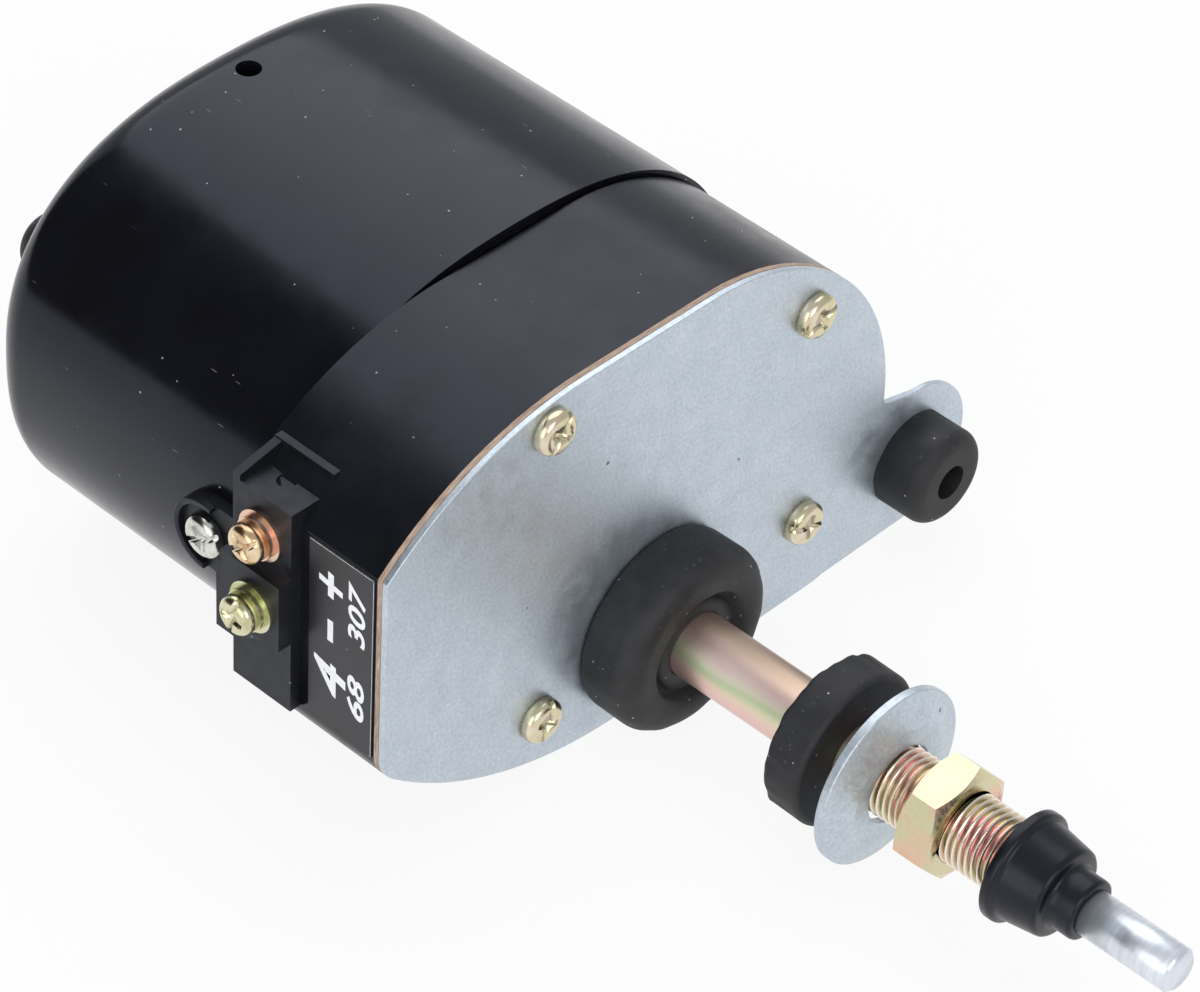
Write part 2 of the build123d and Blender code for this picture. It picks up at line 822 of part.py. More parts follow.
# Seal cap: it grips the tube's end, covers the spindle clip and seals on the spindle
cap_flange_front = -cap_at - cap_flange_thickness
cap_nose = cap_flange_front - cap_cone_length
cap_front = cap_nose - cap_collar_length
chamber_front = -tube_length - cap_chamber_length
with BuildPart() as seal_cap:
    with BuildSketch(spindle_plane):
        with BuildLine():
            Polyline(
                (thread_radius + running_fit, -cap_at),
                (cap_flange_radius, -cap_at),
                (cap_flange_radius, cap_flange_front),
                (cap_cone_radius, cap_flange_front),
                (cap_nose_radius, cap_nose),
                (cap_collar_radius, cap_nose),
                (cap_collar_radius, cap_front),
                (journal_radius + running_fit, cap_front),
                (journal_radius + running_fit, chamber_front),
                (cap_chamber_radius, chamber_front),
                (cap_chamber_radius, -tube_length),
                (thread_radius + running_fit, -tube_length),
                close=True,
            )
        make_face()
    revolve(axis=Axis.Y)
seal_cap.part.label = "seal_cap"
export_step(seal_cap.part, "parts/seal_cap.step")

# Spindle: full size outside the cap, a little thinner where it runs in the bushes, with a clip groove
washer_front = -tube_length - end_play - spindle_washer_thickness
clip_front = washer_front - end_play - clip_thickness
with BuildPart() as spindle:
    with BuildSketch(spindle_plane):
        with BuildLine():
            Polyline(
                (0, -spindle_reach),
                (spindle_radius - spindle_chamfer, -spindle_reach),
                (spindle_radius, -spindle_reach + spindle_chamfer),
                (spindle_radius, cap_front),
                (journal_radius, cap_front),
                (journal_radius, clip_front),
                (journal_radius - groove_depth, clip_front),
                (journal_radius - groove_depth, clip_front + clip_thickness),
                (journal_radius, clip_front + clip_thickness),
                (journal_radius, lever_back),
                (0, lever_back),
                close=True,
            )
        make_face()
    revolve(axis=Axis.Y)
spindle.part.label = "spindle"
export_step(spindle.part, "parts/spindle.step")

# Washer between the tube's end and the spindle's clip
with BuildPart() as spindle_washer:
    round_bar((0, 0), tube_radius, washer_front, washer_front + spindle_washer_thickness)
    round_bar((0, 0), journal_radius, washer_front, washer_front + spindle_washer_thickness, Mode.SUBTRACT)
spindle_washer.part.label = "spindle_washer"
export_step(spindle_washer.part, "parts/spindle_washer.step")


def open_clip(at, inner, rim, front, thickness):
    """A snap ring with a gap on its right."""
    with BuildPart() as ring:
        round_bar(at, inner + rim, front, front + thickness)
        round_bar(at, inner, front, front + thickness, Mode.SUBTRACT)
        with BuildSketch(layer(front + thickness)):
            with Locations((at[0] + inner + rim, at[1])):
                Rectangle(2 * (inner + rim), inner)
        extrude(amount=thickness, mode=Mode.SUBTRACT)
    return ring.part


spindle_clip_part = open_clip((0, 0), journal_radius - groove_depth, clip_rim, clip_front, clip_thickness)
with BuildPart() as spindle_clip:
    add(spindle_clip_part)
spindle_clip.part.label = "spindle_clip"
export_step(spindle_clip.part, "parts/spindle_clip.step")

# Thrust washer between the tube's flange and the lever
with BuildPart() as thrust_washer:
    round_bar((0, 0), thrust_washer_radius, thrust_washer_front, lever_front)
    round_bar((0, 0), journal_radius, thrust_washer_front, lever_front, Mode.SUBTRACT)
thrust_washer.part.label = "thrust_washer"
export_step(thrust_washer.part, "parts/thrust_washer.step")

# Lever pressed on the spindle's inner end
with BuildPart() as spindle_lever:
    with BuildSketch(layer(lever_back)):
        Circle(lever_hub_radius)
        with Locations(lever_pin_at):
            Circle(lever_eye_radius)
        make_hull()
        Circle(journal_radius, mode=Mode.SUBTRACT)
        with Locations(lever_pin_at):
            Circle(lever_pin_radius, mode=Mode.SUBTRACT)
    extrude(amount=lever_thickness)
spindle_lever.part.label = "spindle_lever"
export_step(spindle_lever.part, "parts/spindle_lever.step")

# Pin riveted in the lever's eye
with BuildPart() as lever_pin:
    round_bar(lever_pin_at, lever_pin_radius, lever_front - end_play, lever_back + end_play)
lever_pin.part.label = "lever_pin"
export_step(lever_pin.part, "parts/lever_pin.step")

# Connecting rod from the crank pin to the lever
rod_tip = (crank_pin_at[0] - rod_length * cos(crank_angle), crank_pin_at[1] - rod_length * sin(crank_angle))
rod_middle = ((crank_pin_at[0] + rod_tip[0]) / 2, (crank_pin_at[1] + rod_tip[1]) / 2)
with BuildPart() as connecting_rod:
    with BuildSketch(layer(rod_back)):
        with Locations(crank_pin_at, rod_tip):
            Circle(rod_eye_radius)
        with Locations(rod_middle):
            Rectangle(rod_length, rod_width, rotation=degrees(crank_angle))
        with Locations(crank_pin_at):
            Circle(crank_pin_radius + running_fit, mode=Mode.SUBTRACT)
        with Locations(rod_tip):
            Circle(lever_pin_radius + running_fit, mode=Mode.SUBTRACT)
    extrude(amount=rod_thickness)
connecting_rod.part.label = "connecting_rod"
export_step(connecting_rod.part, "parts/connecting_rod.step")

# Crank gear with its pin, the pin's clip and the parking disc behind it
crank_gear_sketch = gear_sketch(
    second_module,
    crank_teeth,
    direction_from(crank_at, intermediate_at),
    False,
    crank_axle_radius + running_fit,
)
with BuildPart() as crank_gear:
    toothed(crank_at, crank_gear_sketch, crank_gear_front, crank_gear_back)
    round_bar(crank_pin_at, crank_pin_radius, crank_gear_front, crank_gear_back, Mode.SUBTRACT)
crank_gear.part.label = "crank_gear"
export_step(crank_gear.part, "parts/crank_gear.step")

crank_pin_front = rod_front - crank_pin_tip
with BuildPart() as crank_pin:
    round_bar(crank_pin_at, crank_pin_radius, crank_pin_front, crank_gear_back)
    round_bar(crank_pin_at, crank_pin_shoulder, rod_back + end_play, crank_gear_front)
crank_pin.part.label = "crank_pin"
export_step(crank_pin.part, "parts/crank_pin.step")

pin_clip_front = rod_front - end_play - clip_thickness
crank_clip_part = open_clip(crank_pin_at, crank_pin_radius, clip_rim, pin_clip_front, clip_thickness)
with BuildPart() as crank_pin_clip:
    add(crank_clip_part)
crank_pin_clip.part.label = "crank_pin_clip"
export_step(crank_pin_clip.part, "parts/crank_pin_clip.step")

# Parking disc: a brass ring with a notch, on the crank gear's back
with BuildPart() as park_disc:
    round_bar(crank_at, park_disc_radius, crank_gear_back, park_disc_back)
    notch_plane = layer(park_disc_back)
    notch_middle = degrees(crank_angle)
    with BuildSketch(notch_plane) as notch_ring:
        with Locations(crank_at):
            Circle(park_disc_radius + slip_fit)
            Circle(park_notch_radius, mode=Mode.SUBTRACT)
        low = radians(notch_middle - park_notch_angle / 2)
        high = radians(notch_middle + park_notch_angle / 2)
        far = 2 * park_disc_radius
        with BuildLine():
            Polyline(
                crank_at,
                (crank_at[0] + far * cos(low), crank_at[1] + far * sin(low)),
                (crank_at[0] + far * cos(high), crank_at[1] + far * sin(high)),
                close=True,
            )
        make_face(mode=Mode.INTERSECT)
    extrude(amount=park_disc_thickness, mode=Mode.SUBTRACT)
    hub_hole = crank_axle_radius + axle_boss_wall
    round_bar(crank_at, hub_hole, crank_gear_back, park_disc_back, Mode.SUBTRACT)
park_disc.part.label = "park_disc"
export_step(park_disc.part, "parts/park_disc.step")

# Intermediate gear, driven by the motor pinion
intermediate_sketch = gear_sketch(
    first_module, intermediate_teeth, direction_from(intermediate_at, motor_at), False,
    intermediate_axle_radius + running_fit,
)
with BuildPart() as intermediate_gear:
    toothed(intermediate_at, intermediate_sketch, intermediate_gear_front, intermediate_gear_back)
intermediate_gear.part.label = "intermediate_gear"
export_step(intermediate_gear.part, "parts/intermediate_gear.step")

# Pinion in one with the intermediate gear, in mesh with the crank gear
intermediate_pinion_sketch = gear_sketch(
    second_module, pinion_teeth, direction_from(intermediate_at, crank_at), True,
    intermediate_axle_radius + running_fit,
)
with BuildPart() as intermediate_pinion:
    toothed(intermediate_at, intermediate_pinion_sketch, crank_gear_front, intermediate_gear_front)
intermediate_pinion.part.label = "intermediate_pinion"
export_step(intermediate_pinion.part, "parts/intermediate_pinion.step")

# Pinion on the armature shaft's nose
motor_pinion_sketch = gear_sketch(
    first_module, pinion_teeth, direction_from(motor_at, intermediate_at), True, shaft_nose_radius
)
with BuildPart() as motor_pinion:
    toothed(motor_at, motor_pinion_sketch, motor_pinion_front, motor_pinion_back)
motor_pinion.part.label = "motor_pinion"
export_step(motor_pinion.part, "parts/motor_pinion.step")

# Fixed axles of the two gears, with their clips
with BuildPart() as crank_axle:
    round_bar(crank_at, crank_axle_radius, axle_front, housing_back)
crank_axle.part.label = "crank_axle"
export_step(crank_axle.part, "parts/crank_axle.step")

with BuildPart() as intermediate_axle:
    round_bar(intermediate_at, intermediate_axle_radius, axle_front, housing_back)
intermediate_axle.part.label = "intermediate_axle"
export_step(intermediate_axle.part, "parts/intermediate_axle.step")

crank_axle_clip = open_clip(crank_at, crank_axle_radius, clip_rim, axle_clip_front, axle_clip_thickness)
other_axle_clip = open_clip(
    intermediate_at, intermediate_axle_radius, clip_rim, axle_clip_front, axle_clip_thickness
)
with BuildPart() as axle_clips:
    add(crank_axle_clip)
    add(other_axle_clip)
axle_clips.part.label = "axle_clips"
export_step(axle_clips.part, "parts/axle_clips.step")

# Armature shaft: a thin nose for the pinion, then one diameter through both bearings
rear_bearing_back = can_back - can_wall
rear_bearing_front = rear_bearing_back - bearing_length
front_bearing_front = housing_back - bearing_length
shaft_back = rear_bearing_back - shaft_end_play
shaft_step = motor_pinion_back + end_play
with BuildPart() as armature_shaft:
    round_bar(motor_at, shaft_nose_radius, motor_pinion_front, shaft_back)
    round_bar(motor_at, shaft_radius, shaft_step, shaft_back)
armature_shaft.part.label = "armature_shaft"
export_step(armature_shaft.part, "parts/armature_shaft.step")

# Laminated core with slots that open at its rim
core_back = core_front + core_length
slot_middle = core_radius - tooth_tip - slot_depth / 2
with BuildPart() as armature_core:
    with BuildSketch(layer(core_back)):
        with Locations(motor_at):
            Circle(core_radius)
            Circle(shaft_radius, mode=Mode.SUBTRACT)
            with PolarLocations(slot_middle, core_slots):
                RectangleRounded(slot_depth, slot_width, slot_width / 4, mode=Mode.SUBTRACT)
            with PolarLocations(core_radius, core_slots):
                Rectangle(2 * tooth_tip + slot_width / 2, slot_opening, mode=Mode.SUBTRACT)
    extrude(amount=core_length)
armature_core.part.label = "armature_core"
export_step(armature_core.part, "parts/armature_core.step")

# Windings: copper in the slots and a rounded head at each end of the core
winding_outer = core_radius - tooth_tip
with BuildPart() as armature_windings:
    for front in (core_front - winding_head, core_back):
        round_bar(motor_at, winding_outer, front, front + winding_head)
    outer_ends = armature_windings.faces().sort_by(Axis.Y)
    fillet([outer_ends[0].edges()[0], outer_ends[-1].edges()[0]], winding_head / 2)
    with BuildSketch(layer(core_back)):
        with Locations(motor_at):
            with PolarLocations(slot_middle, core_slots):
                RectangleRounded(
                    slot_depth - 2 * slip_fit, slot_width - 2 * slip_fit, slot_width / 4 - slip_fit
                )
    extrude(amount=core_length)
    heads_front, heads_back = core_front - winding_head, core_back + winding_head
    round_bar(motor_at, winding_inner_radius, heads_front, heads_back, Mode.SUBTRACT)
armature_windings.part.label = "armature_windings"
export_step(armature_windings.part, "parts/armature_windings.step")

# Commutator, slit between its bars
commutator_back = commutator_front + commutator_length
with BuildPart() as commutator:
    round_bar(motor_at, commutator_radius, commutator_front, commutator_back)
    round_bar(motor_at, shaft_radius, commutator_front, commutator_back, Mode.SUBTRACT)
    with BuildSketch(layer(commutator_back)):
        with Locations(motor_at):
            with PolarLocations(commutator_radius, commutator_bars):
                Rectangle(2 * commutator_slit_depth, commutator_slit)
    extrude(amount=commutator_length, mode=Mode.SUBTRACT)
commutator.part.label = "commutator"
export_step(commutator.part, "parts/commutator.step")

# Sintered bearings at both ends of the armature, and the plate that holds the rear one
with BuildPart() as front_bearing:
    round_bar(motor_at, bearing_radius, front_bearing_front, housing_back)
    round_bar(motor_at, shaft_radius + running_fit, front_bearing_front, housing_back, Mode.SUBTRACT)
front_bearing.part.label = "front_bearing"
export_step(front_bearing.part, "parts/front_bearing.step")

with BuildPart() as rear_bearing:
    round_bar(motor_at, bearing_radius, rear_bearing_front, rear_bearing_back)
    round_bar(motor_at, shaft_radius + running_fit, rear_bearing_front, rear_bearing_back, Mode.SUBTRACT)
rear_bearing.part.label = "rear_bearing"
export_step(rear_bearing.part, "parts/rear_bearing.step")

with BuildPart() as rear_bearing_retainer:
    round_bar(motor_at, retainer_radius, rear_bearing_back - retainer_thickness, rear_bearing_back)
    retainer_front = rear_bearing_back - retainer_thickness
    round_bar(motor_at, bearing_radius, retainer_front, rear_bearing_back, Mode.SUBTRACT)
rear_bearing_retainer.part.label = "rear_bearing_retainer"
export_step(rear_bearing_retainer.part, "parts/rear_bearing_retainer.step")

# Two pole magnets, shaped to the can's oval wall, and the spring clips that spread them
magnet_back = magnet_front + magnet_length
magnet_inner = core_radius + magnet_gap
with BuildPart() as pole_magnets:
    for side in (0, 180):
        with BuildSketch(layer(magnet_back)) as magnet_face:
            add(can_oval(can_wall + glue_gap))
            add(wedge(side, magnet_half_angle), mode=Mode.INTERSECT)
            with Locations(motor_at):
                Circle(magnet_inner, mode=Mode.SUBTRACT)
        extrude(amount=magnet_length)
pole_magnets.part.label = "pole_magnets"
export_step(pole_magnets.part, "parts/pole_magnets.step")

magnet_clip_angle = 90 - magnet_half_angle - magnet_clip_margin
magnet_clip_back = magnet_front + (magnet_length + magnet_clip_length) / 2
with BuildPart() as magnet_clips:
    for side in (90, 270):
        with BuildSketch(layer(magnet_clip_back)):
            add(can_oval(can_wall + glue_gap))
            add(can_oval(can_wall + glue_gap + magnet_clip_thickness), mode=Mode.SUBTRACT)
            add(wedge(side, magnet_clip_angle), mode=Mode.INTERSECT)
        extrude(amount=magnet_clip_length)
magnet_clips.part.label = "magnet_clips"
export_step(magnet_clips.part, "parts/magnet_clips.step")

# Brush plate on the back of the housing's floor, with windows for the terminal strips
skirt_inset = can_wall + skirt_clearance + skirt_wall
brush_plate_back = housing_back + brush_plate_thickness
with BuildPart() as brush_plate:
    with BuildSketch(layer(brush_plate_back)):
        add(can_oval(skirt_inset + slip_fit))
        with Locations(motor_at):
            Circle(brush_plate_hole, mode=Mode.SUBTRACT)
        for y, z in terminal_places:
            with Locations((strip_bend_x - strip_thickness / 2, z)):
                Rectangle(strip_thickness + strip_window, strip_width + strip_window, mode=Mode.SUBTRACT)
    extrude(amount=brush_plate_thickness)
brush_plate.part.label = "brush_plate"
export_step(brush_plate.part, "parts/brush_plate.step")

# Brush holders above and below the commutator, each a square tube closed at its outer end
holder_half = brush_height / 2 + holder_wall + brush_gap
holder_front = brush_plate_back
holder_back = brush_at + brush_width / 2 + brush_gap + holder_wall
holder_start = commutator_radius + holder_gap
with BuildPart() as brush_holders:
    for side in (-1, 1):
        across = Plane(
            origin=(motor_at[0], brush_at, motor_at[1] + side * holder_start),
            x_dir=(1, 0, 0),
            z_dir=(0, 0, side),
        )
        with BuildSketch(across):
            with Locations((0, -side * (brush_at - (holder_front + holder_back) / 2))):
                Rectangle(2 * holder_half, holder_back - holder_front)
        extrude(amount=holder_length + holder_wall)
        with BuildSketch(across):
            Rectangle(brush_height + 2 * brush_gap, brush_width + 2 * brush_gap)
        extrude(amount=holder_length, mode=Mode.SUBTRACT)
brush_holders.part.label = "brush_holders"
export_step(brush_holders.part, "parts/brush_holders.step")

brush_start = commutator_radius + running_fit
with BuildPart() as brushes:
    for side in (-1, 1):
        across = Plane(
            origin=(motor_at[0], brush_at, motor_at[1] + side * brush_start),
            x_dir=(1, 0, 0),
            z_dir=(0, 0, side),
        )
        with BuildSketch(across):
            Rectangle(brush_height, brush_width)
        extrude(amount=brush_length)
brushes.part.label = "brushes"
export_step(brushes.part, "parts/brushes.step")

# Coil springs between the brushes and the holders' closed ends
spring_start = brush_start + brush_length + spring_wire / 2
spring_length = holder_start + holder_length - spring_start - spring_wire / 2
with BuildPart() as brush_springs:
    for side in (-1, 1):
        foot = (motor_at[0], brush_at, motor_at[1] + side * spring_start)
        with BuildLine():
            coil = Helix(
                pitch=spring_length / spring_turns, height=spring_length, radius=spring_radius,
                center=foot, direction=(0, 0, side),
            )
        with BuildSketch(Plane(origin=coil @ 0, z_dir=coil % 0)):
            Circle(spring_wire / 2)
        sweep(path=coil, is_frenet=True)
brush_springs.part.label = "brush_springs"
export_step(brush_springs.part, "parts/brush_springs.step")

# Terminal block: a stepped plastic block that wraps round the housing's upper left corner
block_back = block_front + block_width
shelf_end = left_x + shelf_reach
step_one_x = left_x - level_one_rise
step_two_x = left_x - level_two_rise
terminal_faces = (step_one_x, step_two_x)
lug_seat = can_left - lug_plate_thickness


def facing_left(x, y, z):
    """A plane that faces -X, with its own x along +Y and its own y along -Z."""
    return Plane(origin=(x, y, z), x_dir=(0, 1, 0), z_dir=(-1, 0, 0))


with BuildPart() as housing_form:
    with BuildSketch(layer(housing_back + end_play)):
        add(housing_outline())
    extrude(amount=housing_back)

with BuildPart() as terminal_block:
    with BuildSketch(layer(block_back)):
        with BuildLine():
            Polyline(
                (step_one_x, block_bottom),
                (step_one_x, level_two_bottom),
                (step_two_x, level_two_bottom),
                (step_two_x, level_one_bottom),
                (step_one_x, level_one_bottom),
                (step_one_x, block_top),
                (shelf_end, block_top),
                (shelf_end, block_bottom),
                close=True,
            )
        make_face()
    extrude(amount=block_width)
    with BuildSketch(layer(block_back)):
        with BuildLine():
            Polyline(
                (step_one_x, block_top),
                (step_one_x, block_top + rib_height / 2),
                (shelf_end, block_top + 3 * rib_height / 2),
                (shelf_end, block_top),
                close=True,
            )
        make_face()
    extrude(amount=rib_thickness)
    with BuildSketch(layer(block_back)):
        with Locations((shelf_end - rib_thickness / 2, block_top + rib_height / 2)):
            Rectangle(rib_thickness, 2 * rib_height)
    extrude(amount=block_width)
    mark_at = ((step_one_x + shelf_end) / 2, block_front + block_width / 2)
    with BuildSketch(Plane.XY.offset(block_top - ejector_mark_depth)):
        with Locations(mark_at):
            Circle(ejector_mark_radius)
    extrude(amount=2 * ejector_mark_depth, mode=Mode.SUBTRACT)
    lug_span = can_screw_at[0] - block_back
    with BuildSketch(facing_left(lug_seat, can_screw_at[0], can_screw_at[1])):
        Circle(lug_tip_radius)
        with Locations((-lug_span / 2, 0)):
            Rectangle(lug_span, 2 * lug_tip_radius)
    extrude(amount=-2 * lug_plate_thickness)
    bridge_length = 2 * lug_plate_thickness
    with BuildSketch(facing_left(step_one_x, block_back, can_screw_at[1])):
        Rectangle(2 * bridge_length, 2 * lug_tip_radius)
    extrude(amount=step_one_x - lug_seat - lug_plate_thickness)
    add(outer_form, mode=Mode.SUBTRACT)
    add(housing_form.part, mode=Mode.SUBTRACT)
    with BuildSketch(facing_left(lug_seat, can_screw_at[0], can_screw_at[1])):
        Circle(screw_radius + slip_fit)
    extrude(amount=-2 * lug_plate_thickness, mode=Mode.SUBTRACT)
    for (y, z), face_x in zip(terminal_places, terminal_faces):
        with BuildSketch(facing_left(face_x, y, z)):
            Circle(screw_radius + slip_fit)
        extrude(amount=-terminal_screw_length, mode=Mode.SUBTRACT)
        with BuildSketch(facing_left(left_x - strip_thickness - slip_fit, y, z)):
            Rectangle(strip_foot + 2 * slip_fit, strip_width + 2 * slip_fit)
        extrude(amount=-2 * housing_wall, mode=Mode.SUBTRACT)
terminal_block.part.label = "terminal_block"
export_step(terminal_block.part, "parts/terminal_block.step")

# Brass strips from the terminals through the housing to the brush plate
with BuildPart() as terminal_strips:
    for y, z in terminal_places:
        leg_back = y + strip_foot / 2
        with BuildSketch(facing_left(left_x, y, z)):
            Rectangle(strip_foot, strip_width)
        extrude(amount=strip_thickness)
        with BuildSketch(layer(leg_back)):
            with Locations(((left_x - strip_thickness + strip_bend_x) / 2, z)):
                Rectangle(strip_bend_x - left_x + strip_thickness, strip_width)
        extrude(amount=strip_thickness)
        with BuildSketch(layer(strip_end)):
            with Locations((strip_bend_x - strip_thickness / 2, z)):
                Rectangle(strip_thickness, strip_width)
        extrude(amount=strip_end - leg_back + strip_thickness)
        with BuildSketch(facing_left(left_x, y, z)):
            Circle(screw_radius)
        extrude(amount=strip_thickness, mode=Mode.SUBTRACT)
terminal_strips.part.label = "terminal_strips"
export_step(terminal_strips.part, "parts/terminal_strips.step")


def left_ring(x, y, z, outer, thickness):
    """A flat ring round a terminal screw, from x outwards."""
    with BuildSketch(facing_left(x, y, z)) as ring:
        Circle(outer)
        Circle(screw_radius, mode=Mode.SUBTRACT)
    extrude(ring.sketch, amount=thickness)


# Terminal hardware: flat washer, spring washer and pan head screw on each of the two terminals
with BuildPart() as terminal_flat_washers:
    for (y, z), face_x in zip(terminal_places, terminal_faces):
        left_ring(face_x, y, z, flat_washer_radius, flat_washer_thickness)
terminal_flat_washers.part.label = "terminal_flat_washers"
export_step(terminal_flat_washers.part, "parts/terminal_flat_washers.step")

with BuildPart() as terminal_spring_washers:
    for (y, z), face_x in zip(terminal_places, terminal_faces):
        washer_x = face_x - flat_washer_thickness
        left_ring(washer_x, y, z, spring_washer_radius, spring_washer_thickness)
        with BuildSketch(facing_left(washer_x, y, z)):
            with Locations((spring_washer_radius, 0)):
                Rectangle(2 * spring_washer_radius, spring_washer_gap)
        extrude(amount=spring_washer_thickness, mode=Mode.SUBTRACT)
terminal_spring_washers.part.label = "terminal_spring_washers"
export_step(terminal_spring_washers.part, "parts/terminal_spring_washers.step")

terminal_screw_list = []
for (y, z), face_x, turn in zip(terminal_places, terminal_faces, terminal_turns):
    seat = facing_left(face_x - flat_washer_thickness - spring_washer_thickness, y, z)
    terminal_screw_list.append(
        pan_screw(
            seat, screw_radius, terminal_screw_length, terminal_head_radius, terminal_head_height, turn
        )
    )
with BuildPart() as terminal_screws:
    add(terminal_screw_list)
terminal_screws.part.label = "terminal_screws"
export_step(terminal_screws.part, "parts/terminal_screws.step")

# Can screws: the left one also holds the block's lug, the right one bears on the can itself
left_seat = facing_left(lug_seat, can_screw_at[0], can_screw_at[1])
right_seat_x = can_right + slip_fit
right_seat = Plane(origin=(right_seat_x, can_screw_at[0], can_screw_at[1]), x_dir=(0, 1, 0), z_dir=(1, 0, 0))
left_can_screw = pan_screw(
    left_seat, screw_radius, can_screw_length, can_screw_head_radius, can_screw_head_height, can_screw_turn
)
right_can_screw = pan_screw(
    right_seat, screw_radius, can_screw_length - lug_plate_thickness, can_screw_head_radius,
    can_screw_head_height, can_screw_turn,
)
with BuildPart() as can_screws:
    add(left_can_screw)
    add(right_can_screw)
can_screws.part.label = "can_screws"
export_step(can_screws.part, "parts/can_screws.step")

# Marking label on the housing's flat left side
label_top = upper_corner_z - label_top_margin
with BuildPart() as rating_label:
    with BuildSketch(facing_left(left_x, label_front + label_width / 2, (label_bottom + label_top) / 2)):
        Rectangle(label_width, label_top - label_bottom)
    extrude(amount=label_thickness)
rating_label.part.label = "rating_label"
export_step(rating_label.part, "parts/rating_label.step")

# Parking contacts: two leaf springs on a post that reaches up from the housing's floor
carrier_front = housing_floor_front - carrier_height
contact_tip_y = park_disc_back + contact_gap
with BuildPart() as park_contact_carrier:
    with BuildSketch(layer(housing_floor_front)):
        with Locations(carrier_at):
            Rectangle(*carrier_size)
    extrude(amount=carrier_height)
park_contact_carrier.part.label = "park_contact_carrier"
export_step(park_contact_carrier.part, "parts/park_contact_carrier.step")

with BuildPart() as park_contacts:
    for side in (-1, 1):
        contact_z = carrier_at[1] + side * contact_spacing / 2
        with BuildSketch(layer(carrier_front)):
            with Locations((carrier_at[0] + contact_reach / 2, contact_z)):
                Rectangle(contact_reach, contact_width)
        extrude(amount=contact_thickness)
        with BuildSketch(layer(carrier_front)):
            with Locations((carrier_at[0] + contact_reach - contact_width / 2, contact_z)):
                Rectangle(contact_width, contact_width)
        extrude(amount=carrier_front - contact_tip_y)
park_contacts.part.label = "park_contacts"
export_step(park_contacts.part, "parts/park_contacts.step")
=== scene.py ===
import json
from math import cos, pi, radians, sin

import bmesh
import bpy
from mathutils import Matrix, Vector, noise


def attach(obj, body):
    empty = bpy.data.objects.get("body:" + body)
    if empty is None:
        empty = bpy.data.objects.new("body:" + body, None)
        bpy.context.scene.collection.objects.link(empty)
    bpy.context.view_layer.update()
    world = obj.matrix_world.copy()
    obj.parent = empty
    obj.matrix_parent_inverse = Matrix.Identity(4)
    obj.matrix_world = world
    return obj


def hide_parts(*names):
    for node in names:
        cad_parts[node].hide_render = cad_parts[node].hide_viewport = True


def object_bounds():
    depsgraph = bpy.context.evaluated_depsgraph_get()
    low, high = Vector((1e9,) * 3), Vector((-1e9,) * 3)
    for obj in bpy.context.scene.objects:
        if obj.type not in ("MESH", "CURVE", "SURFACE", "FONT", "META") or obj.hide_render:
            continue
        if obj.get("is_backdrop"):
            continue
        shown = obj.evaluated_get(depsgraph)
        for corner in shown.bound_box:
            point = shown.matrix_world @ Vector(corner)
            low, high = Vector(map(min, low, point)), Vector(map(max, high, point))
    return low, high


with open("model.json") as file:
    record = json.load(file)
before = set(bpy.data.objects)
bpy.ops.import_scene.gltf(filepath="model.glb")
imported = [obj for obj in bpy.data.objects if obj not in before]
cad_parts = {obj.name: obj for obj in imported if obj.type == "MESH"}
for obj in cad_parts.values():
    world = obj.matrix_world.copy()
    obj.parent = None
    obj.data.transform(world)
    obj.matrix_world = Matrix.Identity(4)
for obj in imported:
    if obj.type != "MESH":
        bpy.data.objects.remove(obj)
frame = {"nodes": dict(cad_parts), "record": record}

low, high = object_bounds()
cad_box = [list(low), list(high)]

MM = 0.001
MERGE_DISTANCE = 0.002 * MM
NODES = frame["nodes"]
BODY_OF = {node: body for body, nodes in frame["record"]["behaviour"]["bodies"].items() for node in nodes}
SLOT_OF = {row["node"]: row["material_slot"] for row in frame["record"]["subparts"]}


# Colours and nodes

def linear(code):
    """An sRGB hex colour as linear light."""
    values = [int(code[i:i + 2], 16) / 255 for i in (1, 3, 5)]
    return [v / 12.92 if v <= 0.04045 else ((v + 0.055) / 1.055) ** 2.4 for v in values] + [1.0]


def new_material(name):
    """A material with no nodes yet."""
    material = bpy.data.materials.new(name)
    material.use_nodes = True
    material.node_tree.nodes.clear()
    return material


def add_node(tree, kind, inputs=None, output=0, stops=(), **settings):
    """Adds a node with its settings and links, and gives back one of its outputs.

    An input is a value, a hex colour or another node's output. The stops of a colour ramp are places and hex
    colours.
    """
    made = tree.nodes.new(kind)
    for name, value in settings.items():
        setattr(made, name, value)
    for name, value in (inputs or {}).items():
        if isinstance(value, bpy.types.NodeSocket):
            tree.links.new(value, made.inputs[name])
        elif isinstance(value, str):
            made.inputs[name].default_value = linear(value)
        else:
            made.inputs[name].default_value = value
    if stops:
        elements = made.color_ramp.elements
        while len(elements) < len(stops):
            elements.new(0.5)
        for element, (position, code) in zip(elements, stops):
            element.position = position
            element.color = linear(code)
    return made.outputs[output] if len(made.outputs) else None


# Patterns, each with its size in millimetres on the real surface

def object_place(tree, stretch=(1, 1, 1)):
    """Object coordinates, with the pattern's cells stretched along the axes."""
    here = add_node(tree, "ShaderNodeTexCoord", output="Object")
    return add_node(tree, "ShaderNodeMapping", {"Vector": here, "Scale": [1 / s for s in stretch]})


def grain(tree, size_mm, stretch=(1, 1, 1), detail=3.0, roughness=0.5):
    """Noise in 0 to 1 whose blotches are about size_mm across."""
    return add_node(tree, "ShaderNodeTexNoise", {
        "Vector": object_place(tree, stretch), "Scale": 1 / (size_mm * MM), "Detail": detail,
        "Roughness": roughness,
    }, output="Fac")


